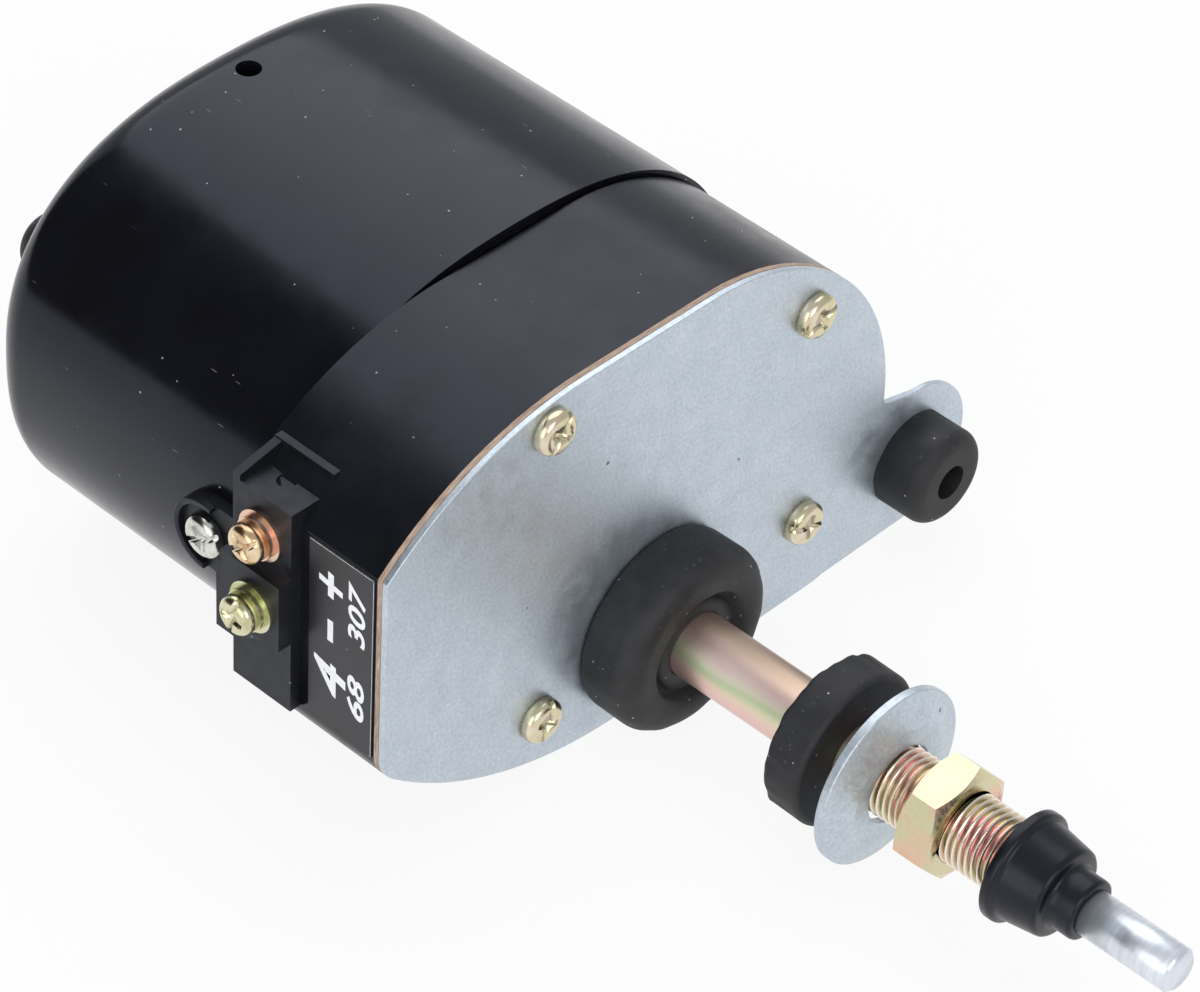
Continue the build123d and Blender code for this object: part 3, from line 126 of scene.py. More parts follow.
def mottled(tree, size_mm, stops, stretch=(1, 1, 1), detail=3.0, roughness=0.5):
    """A colour that drifts between the stops in blotches about size_mm across."""
    cloud = grain(tree, size_mm, stretch, detail, roughness)
    return add_node(tree, "ShaderNodeValToRGB", {"Fac": cloud}, stops=stops)


def drifting(tree, size_mm, least, most, start=0.3, full=0.7, stretch=(1, 1, 1)):
    """A value that goes from least to most in blotches, where their noise goes from start to full."""
    return add_node(tree, "ShaderNodeMapRange", {
        "Value": grain(tree, size_mm, stretch), "From Min": start, "From Max": full,
        "To Min": least, "To Max": most,
    })


def patches(tree, size_mm, start, full, most=1.0):
    """0 outside soft patches about size_mm across, and most inside them."""
    return drifting(tree, size_mm, 0, most, start, full)


def specks(tree, spacing_mm, size, stretch=(1, 1, 1)):
    """1 in small round specks, one to a cell of spacing_mm, and 0 between them."""
    distance = add_node(tree, "ShaderNodeTexVoronoi", {
        "Vector": object_place(tree, stretch), "Scale": 1 / (spacing_mm * MM), "Randomness": 1.0,
    }, output="Distance")
    return add_node(tree, "ShaderNodeMath", {0: distance, 1: size}, operation="LESS_THAN")


def marked(tree, under, code, marks, shown_in):
    """The colour under, with marks of a hex colour over it wherever shown_in lets them show."""
    share = add_node(tree, "ShaderNodeMath", {0: marks, 1: shown_in}, operation="MULTIPLY")
    return add_node(tree, "ShaderNodeMix", {0: share, 6: under, 7: code}, output=2, data_type="RGBA")


def finish(material, surface, relief, depth_mm):
    """Gives a material its surface. Relief in 0 to 1 raises it by up to depth_mm."""
    tree = material.node_tree
    normal = add_node(tree, "ShaderNodeBump", {
        "Height": relief, "Strength": 1.0, "Distance": depth_mm * MM,
    })
    shader = add_node(tree, "ShaderNodeBsdfPrincipled", {**surface, "Normal": normal})
    add_node(tree, "ShaderNodeOutputMaterial", {"Surface": shader})
    return material


# Finishes

ENAMEL_TINT = "#cfd6f0"
POLYMER_TINT = "#d6dbee"


def black_enamel():
    """Stoved black enamel on drawn steel: a glossy, faintly blue black with a little dust on it."""
    material = new_material("stoved_black_enamel")
    tree = material.node_tree
    colour = mottled(tree, 14, [(0.3, "#0e0e12"), (0.7, "#15161b")], detail=4)
    colour = marked(tree, colour, "#a5a5a8", specks(tree, 2.8, 0.05), patches(tree, 9, 0.47, 0.55))
    rubbed = drifting(tree, 0.5, 0, 1, start=0.68, full=0.74, stretch=(1, 8, 1))
    colour = marked(tree, colour, "#3b3c42", rubbed, patches(tree, 12, 0.56, 0.66, most=0.35))
    hairlines = specks(tree, 0.9, 0.07, stretch=(1, 9, 1))
    colour = marked(tree, colour, "#6c6c72", hairlines, patches(tree, 11, 0.55, 0.6, most=0.8))
    return finish(material, {
        "Base Color": colour, "Roughness": drifting(tree, 5, 0.14, 0.22), "IOR": 1.42,
        "Specular Tint": ENAMEL_TINT,
    }, grain(tree, 1.6, detail=1), 0.004)


def housing_enamel():
    """The same enamel on a cast housing: a shade more orange peel and more dust."""
    material = new_material("cast_black_enamel")
    tree = material.node_tree
    colour = mottled(tree, 10, [(0.3, "#0f0f12"), (0.7, "#17181c")], detail=4)
    colour = marked(tree, colour, "#98979a", specks(tree, 2.6, 0.055), patches(tree, 6, 0.47, 0.55))
    return finish(material, {
        "Base Color": colour, "Roughness": drifting(tree, 4, 0.2, 0.3), "IOR": 1.42,
        "Specular Tint": ENAMEL_TINT,
    }, grain(tree, 1.1, detail=2), 0.008)


def bright_zinc():
    """Bright zinc plate on rolled sheet: a cool grey metal, mottled, with fine rolling grain."""
    material = new_material("bright_zinc_plate")
    tree = material.node_tree
    spangle_stops = [(0.3, "#bdc7d0"), (0.55, "#c6d0d9"), (0.75, "#d0d9e0")]
    spangle = mottled(tree, 5, spangle_stops, detail=5, roughness=0.6)
    rolled = mottled(tree, 0.5, [(0.3, "#b4bec8"), (0.7, "#d8e1e8")], detail=2)
    colour = add_node(tree, "ShaderNodeMix", {0: 0.55, 6: spangle, 7: rolled}, output=2, data_type="RGBA")
    colour = marked(tree, colour, "#5f6a73", specks(tree, 6.0, 0.05), patches(tree, 7, 0.52, 0.58))
    return finish(material, {
        "Base Color": colour, "Roughness": drifting(tree, 3, 0.36, 0.5), "Metallic": 0.85,
    }, grain(tree, 0.35, (1, 1, 5)), 0.006)


def white_zinc():
    """Clear passivated screw: bright zinc with a faint warm tint."""
    material = new_material("clear_zinc_screw")
    tree = material.node_tree
    colour = mottled(tree, 1.2, [(0.3, "#c2c4ba"), (0.5, "#d6d8cd"), (0.75, "#e4e5dd")])
    return finish(material, {
        "Base Color": colour, "Roughness": 0.2, "Metallic": 1.0,
    }, grain(tree, 0.3), 0.004)


def yellow_zinc(name, stops, size_mm):
    """Yellow passivated zinc: a thin iridescent film, from straw to olive and pink."""
    material = new_material(name)
    tree = material.node_tree
    return finish(material, {
        "Base Color": mottled(tree, size_mm, stops, detail=2), "Roughness": drifting(tree, 0.6, 0.19, 0.32),
        "Metallic": 1.0,
    }, grain(tree, 0.35), 0.004)


def matt_rubber():
    """Moulded rubber: dull black with talc and dust, and a fine uneven skin."""
    material = new_material("moulded_rubber")
    tree = material.node_tree
    colour = mottled(tree, 2.5, [(0.3, "#171719"), (0.75, "#252528")], detail=5)
    colour = marked(tree, colour, "#4a4a4b", specks(tree, 1.3, 0.16), patches(tree, 3, 0.5, 0.56, most=0.5))
    colour = marked(tree, colour, "#b6b4b0", specks(tree, 1.7, 0.075), patches(tree, 5, 0.45, 0.52))
    return finish(material, {
        "Base Color": colour, "Roughness": 0.6, "IOR": 1.5,
    }, grain(tree, 0.5, detail=4), 0.02)


def cap_rubber():
    """Smooth moulded rubber of the seal cap: black with a soft sheen and a few dust grains."""
    material = new_material("smooth_cap_rubber")
    tree = material.node_tree
    colour = mottled(tree, 3, [(0.3, "#0f0f12"), (0.7, "#17171b")])
    colour = marked(tree, colour, "#8d8c8b", specks(tree, 2.2, 0.06), patches(tree, 4, 0.52, 0.58, most=0.8))
    return finish(material, {
        "Base Color": colour, "Roughness": 0.3, "IOR": 1.45, "Specular Tint": POLYMER_TINT,
    }, grain(tree, 0.8), 0.008)


def block_plastic():
    """Compression moulded phenolic: black, half matt, with flow marks and a little dust."""
    material = new_material("moulded_phenolic_black")
    tree = material.node_tree
    colour = mottled(tree, 4, [(0.3, "#121316"), (0.7, "#1c1d21")], detail=4)
    colour = marked(tree, colour, "#9a999a", specks(tree, 2.4, 0.05), patches(tree, 4, 0.5, 0.55))
    return finish(material, {
        "Base Color": colour, "Roughness": drifting(tree, 2, 0.34, 0.48), "IOR": 1.42,
        "Specular Tint": POLYMER_TINT,
    }, grain(tree, 0.5), 0.008)


def label_film():
    """Printed polyester film: satin black."""
    material = new_material("satin_label_film")
    tree = material.node_tree
    colour = mottled(tree, 5, [(0.3, "#18191d"), (0.7, "#202126")])
    colour = marked(tree, colour, "#8c8c90", specks(tree, 2.6, 0.05), patches(tree, 4, 0.5, 0.55, most=0.7))
    return finish(material, {
        "Base Color": colour, "Roughness": 0.34, "IOR": 1.5,
    }, grain(tree, 1.2), 0.004)


def mark_ink():
    """White screen ink, a little uneven."""
    material = new_material("white_screen_ink")
    tree = material.node_tree
    return finish(material, {
        "Base Color": mottled(tree, 0.6, [(0.3, "#f0f0f0"), (0.7, "#fdfdfd")]), "Roughness": 0.55, "IOR": 1.5,
    }, grain(tree, 0.2), 0.003)


def gasket_paper():
    """Pressed gasket paper: a brown, fibrous edge with darker layers."""
    material = new_material("pressed_gasket_paper")
    tree = material.node_tree
    layers = [(0.25, "#8b7262"), (0.5, "#b29a88"), (0.8, "#cfbcaa")]
    return finish(material, {
        "Base Color": mottled(tree, 0.8, layers, (2, 0.25, 2), detail=5), "Roughness": 0.9, "IOR": 1.45,
    }, grain(tree, 0.3, (3, 0.5, 3)), 0.04)


# The spindle tube: its thread is wound round its front half
TUBE_BORE, TUBE_RADIUS, TUBE_END = 3.9, 4.57, -63.0
THREAD_ROOT, THREAD_CREST, THREAD_START = 4.39, 5.0, -36.0
THREAD_PITCH, THREAD_TURNS, THREAD_STEPS = 1.0, 27, 40
FLANGE_RADIUS, FLANGE_FRONT, FLANGE_BACK = 8.0, 0.9, 2.1


def thread_zinc():
    """Yellow passivated thread: paler towards the crests, and pink and olive in the valleys."""
    material = new_material("passivated_thread")
    tree = material.node_tree
    here = add_node(tree, "ShaderNodeTexCoord", output="Object")
    across = add_node(tree, "ShaderNodeVectorMath", {0: here, 1: (1, 0, 1)}, operation="MULTIPLY")
    radius = add_node(tree, "ShaderNodeVectorMath", {0: across}, output="Value", operation="LENGTH")
    height = add_node(tree, "ShaderNodeMapRange", {
        "Value": radius, "From Min": THREAD_ROOT * MM, "From Max": THREAD_CREST * MM,
    })
    # The colour goes from the valley colours to pale cream as the radius nears the crest
    crest_share = add_node(tree, "ShaderNodeMapRange", {"Value": height, "From Min": 0.5, "From Max": 0.85})
    valley = mottled(tree, 5, [(0.35, "#dcaaa2"), (0.5, "#cbb498"), (0.65, "#b3ae84")], detail=2)
    colour = add_node(tree, "ShaderNodeMix", {0: crest_share, 6: valley, 7: "#f6ebdd"}, output=2, data_type="RGBA")
    return finish(material, {
        "Base Color": colour, "Roughness": 0.25, "Metallic": 1.0,
    }, grain(tree, 0.25), 0.004)


def tube_zinc_painted_highlight():
    """Yellow passivated tube: pink film along its front, with a painted highlight, a streak from straw to
    green, on its upper side.
    """
    material = new_material("passivated_tube_painted_highlight")
    tree = material.node_tree
    film_and_highlight_reach = 4.6 * MM
    here = add_node(tree, "ShaderNodeTexCoord", output="Object")
    up = add_node(tree, "ShaderNodeSeparateXYZ", {"Vector": here}, output="Z")
    round_up = add_node(tree, "ShaderNodeMapRange", {
        "Value": up, "From Min": -film_and_highlight_reach, "From Max": film_and_highlight_reach,
    })
    waver = drifting(tree, 6, -0.22, 0.22, start=0, full=1, stretch=(1, 3, 1))
    wavering = add_node(tree, "ShaderNodeMath", {0: round_up, 1: waver}, operation="ADD")
    # The ramp over height is the pink film plus a painted highlight streak along the tube's upper side
    film_and_painted_highlight = add_node(tree, "ShaderNodeValToRGB", {"Fac": wavering}, stops=[
        (0.1, "#e0c4b4"), (0.42, "#f0c8c4"), (0.56, "#eed8c2"), (0.68, "#d3deb0"), (0.78, "#e8dfc2"),
        (0.88, "#eccac0"), (1.0, "#dcc0a8"),
    ])
    return finish(material, {
        "Base Color": film_and_painted_highlight, "Roughness": 0.36, "Metallic": 0.85,
    }, grain(tree, 0.3, (1, 6, 1)), 0.004)


def turned_steel():
    """Turned and ground steel spindle: cool and bright, with fine rings from the tool."""
    material = new_material("turned_bright_steel")
    tree = material.node_tree
    ring_spacing = 0.9 * MM
    rings = add_node(tree, "ShaderNodeTexWave", {
        "Vector": object_place(tree), "Scale": 1 / ring_spacing, "Distortion": 0.4, "Detail": 1.0,
    }, output="Fac", wave_type="BANDS", bands_direction="Y")
    shine = add_node(tree, "ShaderNodeMapRange", {"Value": rings, "To Min": 0.3, "To Max": 0.4})
    colour = mottled(tree, 1.5, [(0.3, "#d6dce5"), (0.6, "#e4e9ef"), (0.8, "#f0f3f6")], (4, 0.4, 4))
    return finish(material, {"Base Color": colour, "Roughness": shine, "Metallic": 0.8}, rings, 0.006)


def plain_metal(name, dark, light, roughness, size_mm=1.5, stretch=(1, 1, 1)):
    """A metal part inside the motor, with the grain that its making leaves."""
    material = new_material(name)
    tree = material.node_tree
    return finish(material, {
        "Base Color": mottled(tree, size_mm, [(0.3, dark), (0.7, light)], stretch),
        "Roughness": drifting(tree, size_mm, roughness, roughness + 0.12), "Metallic": 1.0,
    }, grain(tree, 0.3, stretch), 0.005)


def plain_solid(name, dark, light, roughness, size_mm=1.0):
    """A moulded, pressed or sintered part inside the motor, a little uneven in colour."""
    material = new_material(name)
    tree = material.node_tree
    return finish(material, {
        "Base Color": mottled(tree, size_mm, [(0.3, dark), (0.7, light)], detail=4), "Roughness": roughness,
        "IOR": 1.5,
    }, grain(tree, 0.4), 0.01)


# The film on the two terminals differs: greenish below this height, coppery above it
FILM_BORDER_Z, FILM_BLEND = 25.5, 0.5


def stacked_film(name, low_stops, high_stops):
    """Passivated zinc whose film took one colour on the lower terminal and another on the upper one."""
    material = new_material(name)
    tree = material.node_tree
    here = add_node(tree, "ShaderNodeTexCoord", output="Object")
    up = add_node(tree, "ShaderNodeSeparateXYZ", {"Vector": here}, output="Z")
    above = add_node(tree, "ShaderNodeMapRange", {
        "Value": up, "From Min": (FILM_BORDER_Z - FILM_BLEND) * MM,
        "From Max": (FILM_BORDER_Z + FILM_BLEND) * MM,
    })
    lower = mottled(tree, 2.0, low_stops, detail=2)
    upper = mottled(tree, 2.0, high_stops, detail=2)
    colour = add_node(tree, "ShaderNodeMix", {0: above, 6: lower, 7: upper}, output=2, data_type="RGBA")
    return finish(material, {
        "Base Color": colour, "Roughness": 0.25, "Metallic": 1.0,
    }, grain(tree, 0.35), 0.004)


STRAW = [(0.3, "#d3c8a2"), (0.45, "#ddd4b0"), (0.6, "#e0cfb6"), (0.75, "#e8e1ca")]
NUT_STRAW = [(0.3, "#dfb5a2"), (0.46, "#e6c4aa"), (0.58, "#d3cfa8"), (0.75, "#e2cfae")]
FINISH = {
    "can_paint": black_enamel(),
    "housing_paint": housing_enamel(),
    "gasket_paper": gasket_paper(),
    "zinc_plate": bright_zinc(),
    "white_zinc": white_zinc(),
    "yellow_zinc": yellow_zinc("yellow_passivated_zinc", STRAW, 2.6),
    "soft_rubber": matt_rubber(),
    "cap_rubber": cap_rubber(),
    "block_plastic": block_plastic(),
    "label_film": label_film(),
    "bronze": plain_metal("sintered_bronze", "#8a6238", "#b98a55", 0.45, size_mm=0.5),
    "brass": plain_metal("stamped_brass", "#b08f48", "#d6b469", 0.25),
    "copper": plain_metal("enamelled_copper", "#8e3f20", "#bf6a3a", 0.22, size_mm=0.8),
    "ferrite": plain_solid("sintered_ferrite", "#1d1e21", "#2d2e32", 0.6, size_mm=0.8),
    "lamination": plain_metal("stacked_lamination", "#55585d", "#7f8388", 0.38, 0.5, (8, 0.6, 8)),
    "spring_steel": plain_metal("stamped_steel", "#70757b", "#9aa0a6", 0.3),
    "ground_steel": turned_steel(),
    "phenolic": plain_solid("phenolic_board", "#52301a", "#75482a", 0.5),
    "carbon": plain_solid("pressed_carbon", "#17171a", "#2a2a2e", 0.5, size_mm=0.4),
    "nylon": plain_solid("moulded_nylon", "#cfcbb8", "#e4e1d2", 0.42, size_mm=3.0),
}
WASHER_FILM = stacked_film("passivated_washers", [(0.3, "#bebf8c"), (0.5, "#d2d3ac"), (0.75, "#dddbc0")],
                           [(0.3, "#dfb39d"), (0.5, "#ebc6b2"), (0.75, "#e9d5b6")])
HEAD_FILM = stacked_film("passivated_heads", [(0.3, "#bcb98c"), (0.5, "#dcd7b4"), (0.7, "#e8dfc2")],
                         [(0.3, "#cda57c"), (0.5, "#e3c49c"), (0.7, "#ecd9b8")])
NUT_FILM = yellow_zinc("passivated_nut", NUT_STRAW, 8.0)
MARK_INK = mark_ink()

for name, obj in NODES.items():
    obj.data.materials.clear()
    obj.data.materials.append(FINISH[SLOT_OF[name]])


# Pieces

FLAT_WITHIN, BEVEL_ABOVE = 0.3, 40
WALL_TILT, WALL_REACH, WALL_AGREES = 0.1, 0.06, 0.99


def finished(bm, name, material, body, slot, *replaced, sharp=35):
    """Turns a bmesh into a shaded piece that rides on its body. Edges above sharp degrees stay sharp."""
    mesh = bpy.data.meshes.new(name)
    bm.to_mesh(mesh)
    bm.free()
    for polygon in mesh.polygons:
        polygon.use_smooth = True
    mesh.set_sharp_from_angle(angle=radians(sharp))
    mesh.materials.append(material)
    piece = bpy.data.objects.new(name, mesh)
    bpy.context.scene.collection.objects.link(piece)
    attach(piece, body)
    if replaced:
        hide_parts(*replaced)
    return piece


def merged_copy(node):
    """A bmesh of a CAD node with its loose triangles joined."""
    bm = bmesh.new()
    bm.from_mesh(NODES[node].data)
    bmesh.ops.remove_doubles(bm, verts=bm.verts, dist=MERGE_DISTANCE)
    return bm


def round_walls(mesh, walls):
    """Gives the curved walls their true normals. A wall is its centre's x and z and its radius, in mm."""
    normals = [corner.vector.copy() for corner in mesh.corner_normals]
    for face in mesh.polygons:
        if abs(face.normal.y) > WALL_TILT:
            continue
        for corner in face.loop_indices:
            at = mesh.vertices[mesh.loops[corner].vertex_index].co / MM
            for x, z, radius in walls:
                away = Vector((at.x - x, 0, at.z - z))
                way = away.normalized()
                if abs(away.length - radius) < WALL_REACH and abs(way.dot(face.normal)) > WALL_AGREES:
                    normals[corner] = way * (1 if way.dot(face.normal) > 0 else -1)
    mesh.normals_split_custom_set(normals)


def dress(node, material=None, rounding=0.0, sharp=35, shape=None, walls=None):
    """A smooth shaded piece over a CAD node, with its sharp edges rounded by rounding in millimetres."""
    bm = merged_copy(node)
    if rounding:
        bmesh.ops.dissolve_limit(bm, angle_limit=radians(FLAT_WITHIN), verts=bm.verts, edges=bm.edges,
                                 delimit={"NORMAL"})
    if shape:
        shape(bm)
    slot = SLOT_OF[node]
    piece = finished(bm, node + "_looks", material or FINISH[slot], BODY_OF[node], slot, node, sharp=sharp)
    if walls:
        round_walls(piece.data, walls)
    if rounding:
        bevel = piece.modifiers.new("edge_rounding", "BEVEL")
        bevel.width = rounding * MM
        bevel.segments = 2
        bevel.limit_method = "ANGLE"
        bevel.angle_limit = radians(BEVEL_ABOVE)
        bevel.use_clamp_overlap = True
        bevel.harden_normals = True


def ragged(front, back, depth_mm, size_mm):
    """Makes the rim between y = front and y = back uneven, as torn flash leaves it."""
    def shape(bm):
        for vert in bm.verts:
            if front * MM < vert.co.y < back * MM:
                away = noise.noise(vert.co / (size_mm * MM)) * depth_mm * MM
                outward = Vector((vert.co.x, 0, vert.co.z)).normalized()
                vert.co += outward * away
    return shape


def revolved(profile, steps=96):
    """A closed profile of (radius, y) points, in millimetres, revolved about the spindle's axis."""
    bm = bmesh.new()
    verts = [bm.verts.new((radius * MM, y * MM, 0)) for radius, y in profile]
    edges = [bm.edges.new(pair) for pair in zip(verts, verts[1:] + verts[:1])]
    bmesh.ops.spin(bm, geom=verts + edges, cent=(0, 0, 0), axis=(0, 1, 0), angle=2 * pi, steps=steps,
                   use_merge=True)
    bmesh.ops.recalc_face_normals(bm, faces=bm.faces)
    return bm


# The plain part of the tube runs on under the thread as a core, a little inside the thread's root
CORE_RADIUS = THREAD_ROOT - 0.02
CORE_START = THREAD_START - 0.4
SHOULDER = 0.2
tube = revolved([(TUBE_BORE, TUBE_END), (CORE_RADIUS, TUBE_END), (CORE_RADIUS, CORE_START),
                 (TUBE_RADIUS, CORE_START + SHOULDER), (TUBE_RADIUS, FLANGE_FRONT),
                 (FLANGE_RADIUS, FLANGE_FRONT), (FLANGE_RADIUS, FLANGE_BACK), (TUBE_BORE, FLANGE_BACK)])
finished(tube, "spindle_tube_looks", tube_zinc_painted_highlight(), "motor_body", "yellow_zinc", "spindle_tube")

# The right-hand thread is one ridge, wound towards -Y, that rises from its root over RUN_IN_LENGTH
CREST_ROUND = 0.04
RUN_IN_START, RUN_IN_LENGTH = THREAD_START - 0.3, 0.9
thread = bmesh.new()
ridge = [(THREAD_ROOT, 0), (THREAD_ROOT, -0.1), (THREAD_CREST - CREST_ROUND, -0.42), (THREAD_CREST, -0.5),
         (THREAD_CREST - CREST_ROUND, -0.58), (THREAD_ROOT, -0.9), (THREAD_ROOT, -THREAD_PITCH)]
ridge_verts = [thread.verts.new((radius * MM, (THREAD_START + y) * MM, 0)) for radius, y in ridge]
ridge_edges = [thread.edges.new(pair) for pair in zip(ridge_verts, ridge_verts[1:])]
whole_turns = THREAD_TURNS - 1
bmesh.ops.spin(thread, geom=ridge_verts + ridge_edges, cent=(0, 0, 0), axis=(0, -1, 0),
               dvec=(0, -THREAD_PITCH * MM / THREAD_STEPS, 0), angle=whole_turns * 2 * pi,
               steps=whole_turns * THREAD_STEPS)
bmesh.ops.remove_doubles(thread, verts=thread.verts, dist=MERGE_DISTANCE)
for vert in thread.verts:
    risen = min(max((RUN_IN_START - vert.co.y / MM) / RUN_IN_LENGTH, 0), 1)
    radius = Vector((vert.co.x, 0, vert.co.z)).length / MM
    shrink = (THREAD_ROOT + (radius - THREAD_ROOT) * risen) / radius
    vert.co.x *= shrink
    vert.co.z *= shrink
bmesh.ops.recalc_face_normals(thread, faces=thread.faces)


def looks_out(face):
    """Above 0 where a face looks away from the spindle's axis."""
    middle = face.calc_center_median()
    return face.normal.dot(Vector((middle.x, 0, middle.z)))


if sum(looks_out(face) for face in thread.faces) < 0:
    bmesh.ops.reverse_faces(thread, faces=thread.faces)
finished(thread, "tube_thread", thread_zinc(), "motor_body", "yellow_zinc", sharp=50)

# The housing's two upper arcs, its lower arc and its round lower right corner
HOUSING_WALLS = [(7.4, 10.8, 35.5), (-14.4, -1.8, 48.1), (-4.0, 47.7, 62.0), (30.9, -2.3, 12.0)]
dress("gear_housing", walls=HOUSING_WALLS, sharp=25)
for node in ("motor_can", "rear_plug", "can_screws", "plate_screws", "cover_gasket"):
    dress(node)
dress("terminal_block", sharp=20)
for node in ("front_plate", "dished_washer"):
    dress(node, rounding=0.15, sharp=25)
dress("rating_label", rounding=0.04)

# The nut: six flats whose corners are turned off by a cone on both faces
NUT_BACK, NUT_FRONT, NUT_BORE = -46.6, -52.1, 5.05
NUT_FLAT, NUT_FACE_RADIUS, NUT_CONE, NUT_TURN = 7.0, 6.6, 0.6, 12.0
NUT_STEPS = 120
nut = bmesh.new()


def nut_ring(kind, y):
    """A ring of the nut's surface: its bore, the edge of its round face, or the edge of its flats."""
    made = bmesh.ops.create_circle(nut, segments=NUT_STEPS, radius=1.0)
    for step, vert in enumerate(made["verts"]):
        angle = 2 * pi * step / NUT_STEPS
        from_flat = (angle - radians(NUT_TURN)) % (pi / 3) - pi / 6
        radius = {"bore": NUT_BORE, "face": NUT_FACE_RADIUS, "flats": NUT_FLAT / cos(from_flat)}[kind]
        drop = NUT_CONE * (radius - NUT_FACE_RADIUS) if kind == "flats" else 0
        towards = 1 if y == NUT_FRONT else -1
        vert.co = Vector((radius * cos(angle), y + towards * drop, radius * sin(angle))) * MM
    return [edge for edge in nut.edges if edge.verts[0] in made["verts"]]


nut_rings = [nut_ring(kind, NUT_BACK) for kind in ("bore", "face", "flats")]
nut_rings += [nut_ring(kind, NUT_FRONT) for kind in ("flats", "face", "bore")]
for ring_a, ring_b in zip(nut_rings, nut_rings[1:] + nut_rings[:1]):
    bmesh.ops.bridge_loops(nut, edges=ring_a + ring_b)
bmesh.ops.recalc_face_normals(nut, faces=nut.faces)
finished(nut, "hex_nut_looks", NUT_FILM, BODY_OF["hex_nut"], SLOT_OF["hex_nut"], "hex_nut", sharp=20)

# The seal cap, from the back: its rim, its cone and the collar that grips the spindle, then its hollow inside
CAP_RIM = [(5.05, -60.5), (7.4, -60.5), (7.52, -60.58), (7.55, -60.7), (7.55, -61.5), (7.5, -61.8),
           (7.3, -62.0)]
CAP_CONE = [(6.85, -62.15), (6.75, -62.4), (6.1, -66.9), (5.98, -67.45), (5.75, -67.7), (5.4, -67.8),
            (4.7, -67.82)]
CAP_COLLAR = [(4.35, -67.95), (4.2, -68.3), (4.1, -69.0), (4.1, -71.0), (4.0, -71.4), (3.7, -71.6),
              (3.05, -71.6)]
CAP_INSIDE = [(3.05, -68.2), (4.7, -65.6), (4.7, -63.0), (5.05, -63.0)]
cap = revolved(CAP_RIM + CAP_CONE + CAP_COLLAR + CAP_INSIDE)
finished(cap, "seal_cap_looks", FINISH["cap_rubber"], BODY_OF["seal_cap"], SLOT_OF["seal_cap"], "seal_cap",
         sharp=50)

dress("cushion_washer", shape=ragged(-9, 2, 0.12, 2.5))
dress("outer_rubber_washer", shape=ragged(-30.4, -27, 0.35, 1.6))
dress("ear_grommet", shape=ragged(-2.6, 3, 0.2, 1.8))
dress("spindle")
dress("terminal_screws", HEAD_FILM)
dress("terminal_flat_washers", WASHER_FILM)
dress("terminal_spring_washers", WASHER_FILM)

# The raised lip round the back half of the lug's screw: a profile of (radius, height out of the lug)
LUG_X, LUG_Y, LUG_Z = -42.15, 35.8, 15.8
LIP_ANGLE = 195
lip_profile = [(4.35, 0.1), (4.45, -0.8), (4.6, -0.9), (5.15, -0.9), (5.28, -0.8), (5.3, 0.1)]
lip = bmesh.new()
lip_verts = [lip.verts.new(Vector((LUG_X + out, LUG_Y, LUG_Z - radius)) * MM) for radius, out in lip_profile]
lip_face = lip.faces.new(lip_verts)
lip_start = lip_verts + list(lip_face.edges) + [lip_face]
bmesh.ops.spin(lip, geom=lip_start, cent=Vector((LUG_X, LUG_Y, LUG_Z)) * MM, axis=(1, 0, 0),
               angle=radians(LIP_ANGLE), steps=40)
bmesh.ops.recalc_face_normals(lip, faces=lip.faces)
finished(lip, "lug_lip", FINISH["block_plastic"], "motor_body", "block_plastic")


# The label's marks are plain signs and numbers, printed to be read from below upwards
LABEL_X = -47.15
INK_HEIGHT = 0.02
LETTER_SLANT, LETTER_WEIGHT = 0.2, 0.022


def on_label(y, z, height, length):
    """Takes a flat unit square to the label: its X runs along Z over length, and its Y over height."""
    size = Matrix.Diagonal((length * MM, height * MM, 1, 1))
    turned = Matrix(((0, 0, 1, 0), (0, 1, 0, 0), (1, 0, 0, 0), (0, 0, 0, 1)))
    return Matrix.Translation(Vector((LABEL_X - INK_HEIGHT, y, z)) * MM) @ turned @ size


def mark(bm, words, place):
    """Prints words at a place that is given for a unit square."""
    curve = bpy.data.curves.new("mark", "FONT")
    curve.body = words
    curve.shear = LETTER_SLANT
    curve.offset = LETTER_WEIGHT
    curve.resolution_u = 4
    writer = bpy.data.objects.new("mark", curve)
    bpy.context.scene.collection.objects.link(writer)
    bpy.context.view_layer.update()
    flat = bpy.data.meshes.new_from_object(writer.evaluated_get(bpy.context.evaluated_depsgraph_get()))
    bpy.data.objects.remove(writer)
    across = [vert.co.x for vert in flat.vertices]
    upwards = [vert.co.y for vert in flat.vertices]
    middle = Matrix.Translation((-(min(across) + max(across)) / 2, -(min(upwards) + max(upwards)) / 2, 0))
    unit = Matrix.Diagonal((1 / (max(across) - min(across)), 1 / (max(upwards) - min(upwards)), 1, 1))
    flat.transform(place @ unit @ middle)
    bm.from_mesh(flat)
    bpy.data.meshes.remove(flat)


def bar(bm, place):
    """Prints a straight bar at a place that is given for a unit square."""
    bmesh.ops.create_grid(bm, x_segments=1, y_segments=1, size=0.5, matrix=place)


marks = bmesh.new()
mark(marks, "+", on_label(9.1, 27.9, 4.0, 4.0))
bar(marks, on_label(9.1, 20.7, 0.95, 3.4))
mark(marks, "4", on_label(9.1, 13.0, 5.4, 5.2))
mark(marks, "307", on_label(4.7, 26.0, 2.9, 9.4))
mark(marks, "68", on_label(4.7, 12.7, 2.9, 6.6))
bar(marks, on_label(7.35, 33.12, 10.6, 0.06))
bar(marks, on_label(2.02, 19.0, 0.06, 28.0))
marks.normal_update()
bmesh.ops.reverse_faces(marks, faces=[face for face in marks.faces if face.normal.x > 0])
finished(marks, "label_marks", MARK_INK, "motor_body", "label_film")


# Surroundings: floor, a dark card that the can mirrors, lamps and camera, in metres

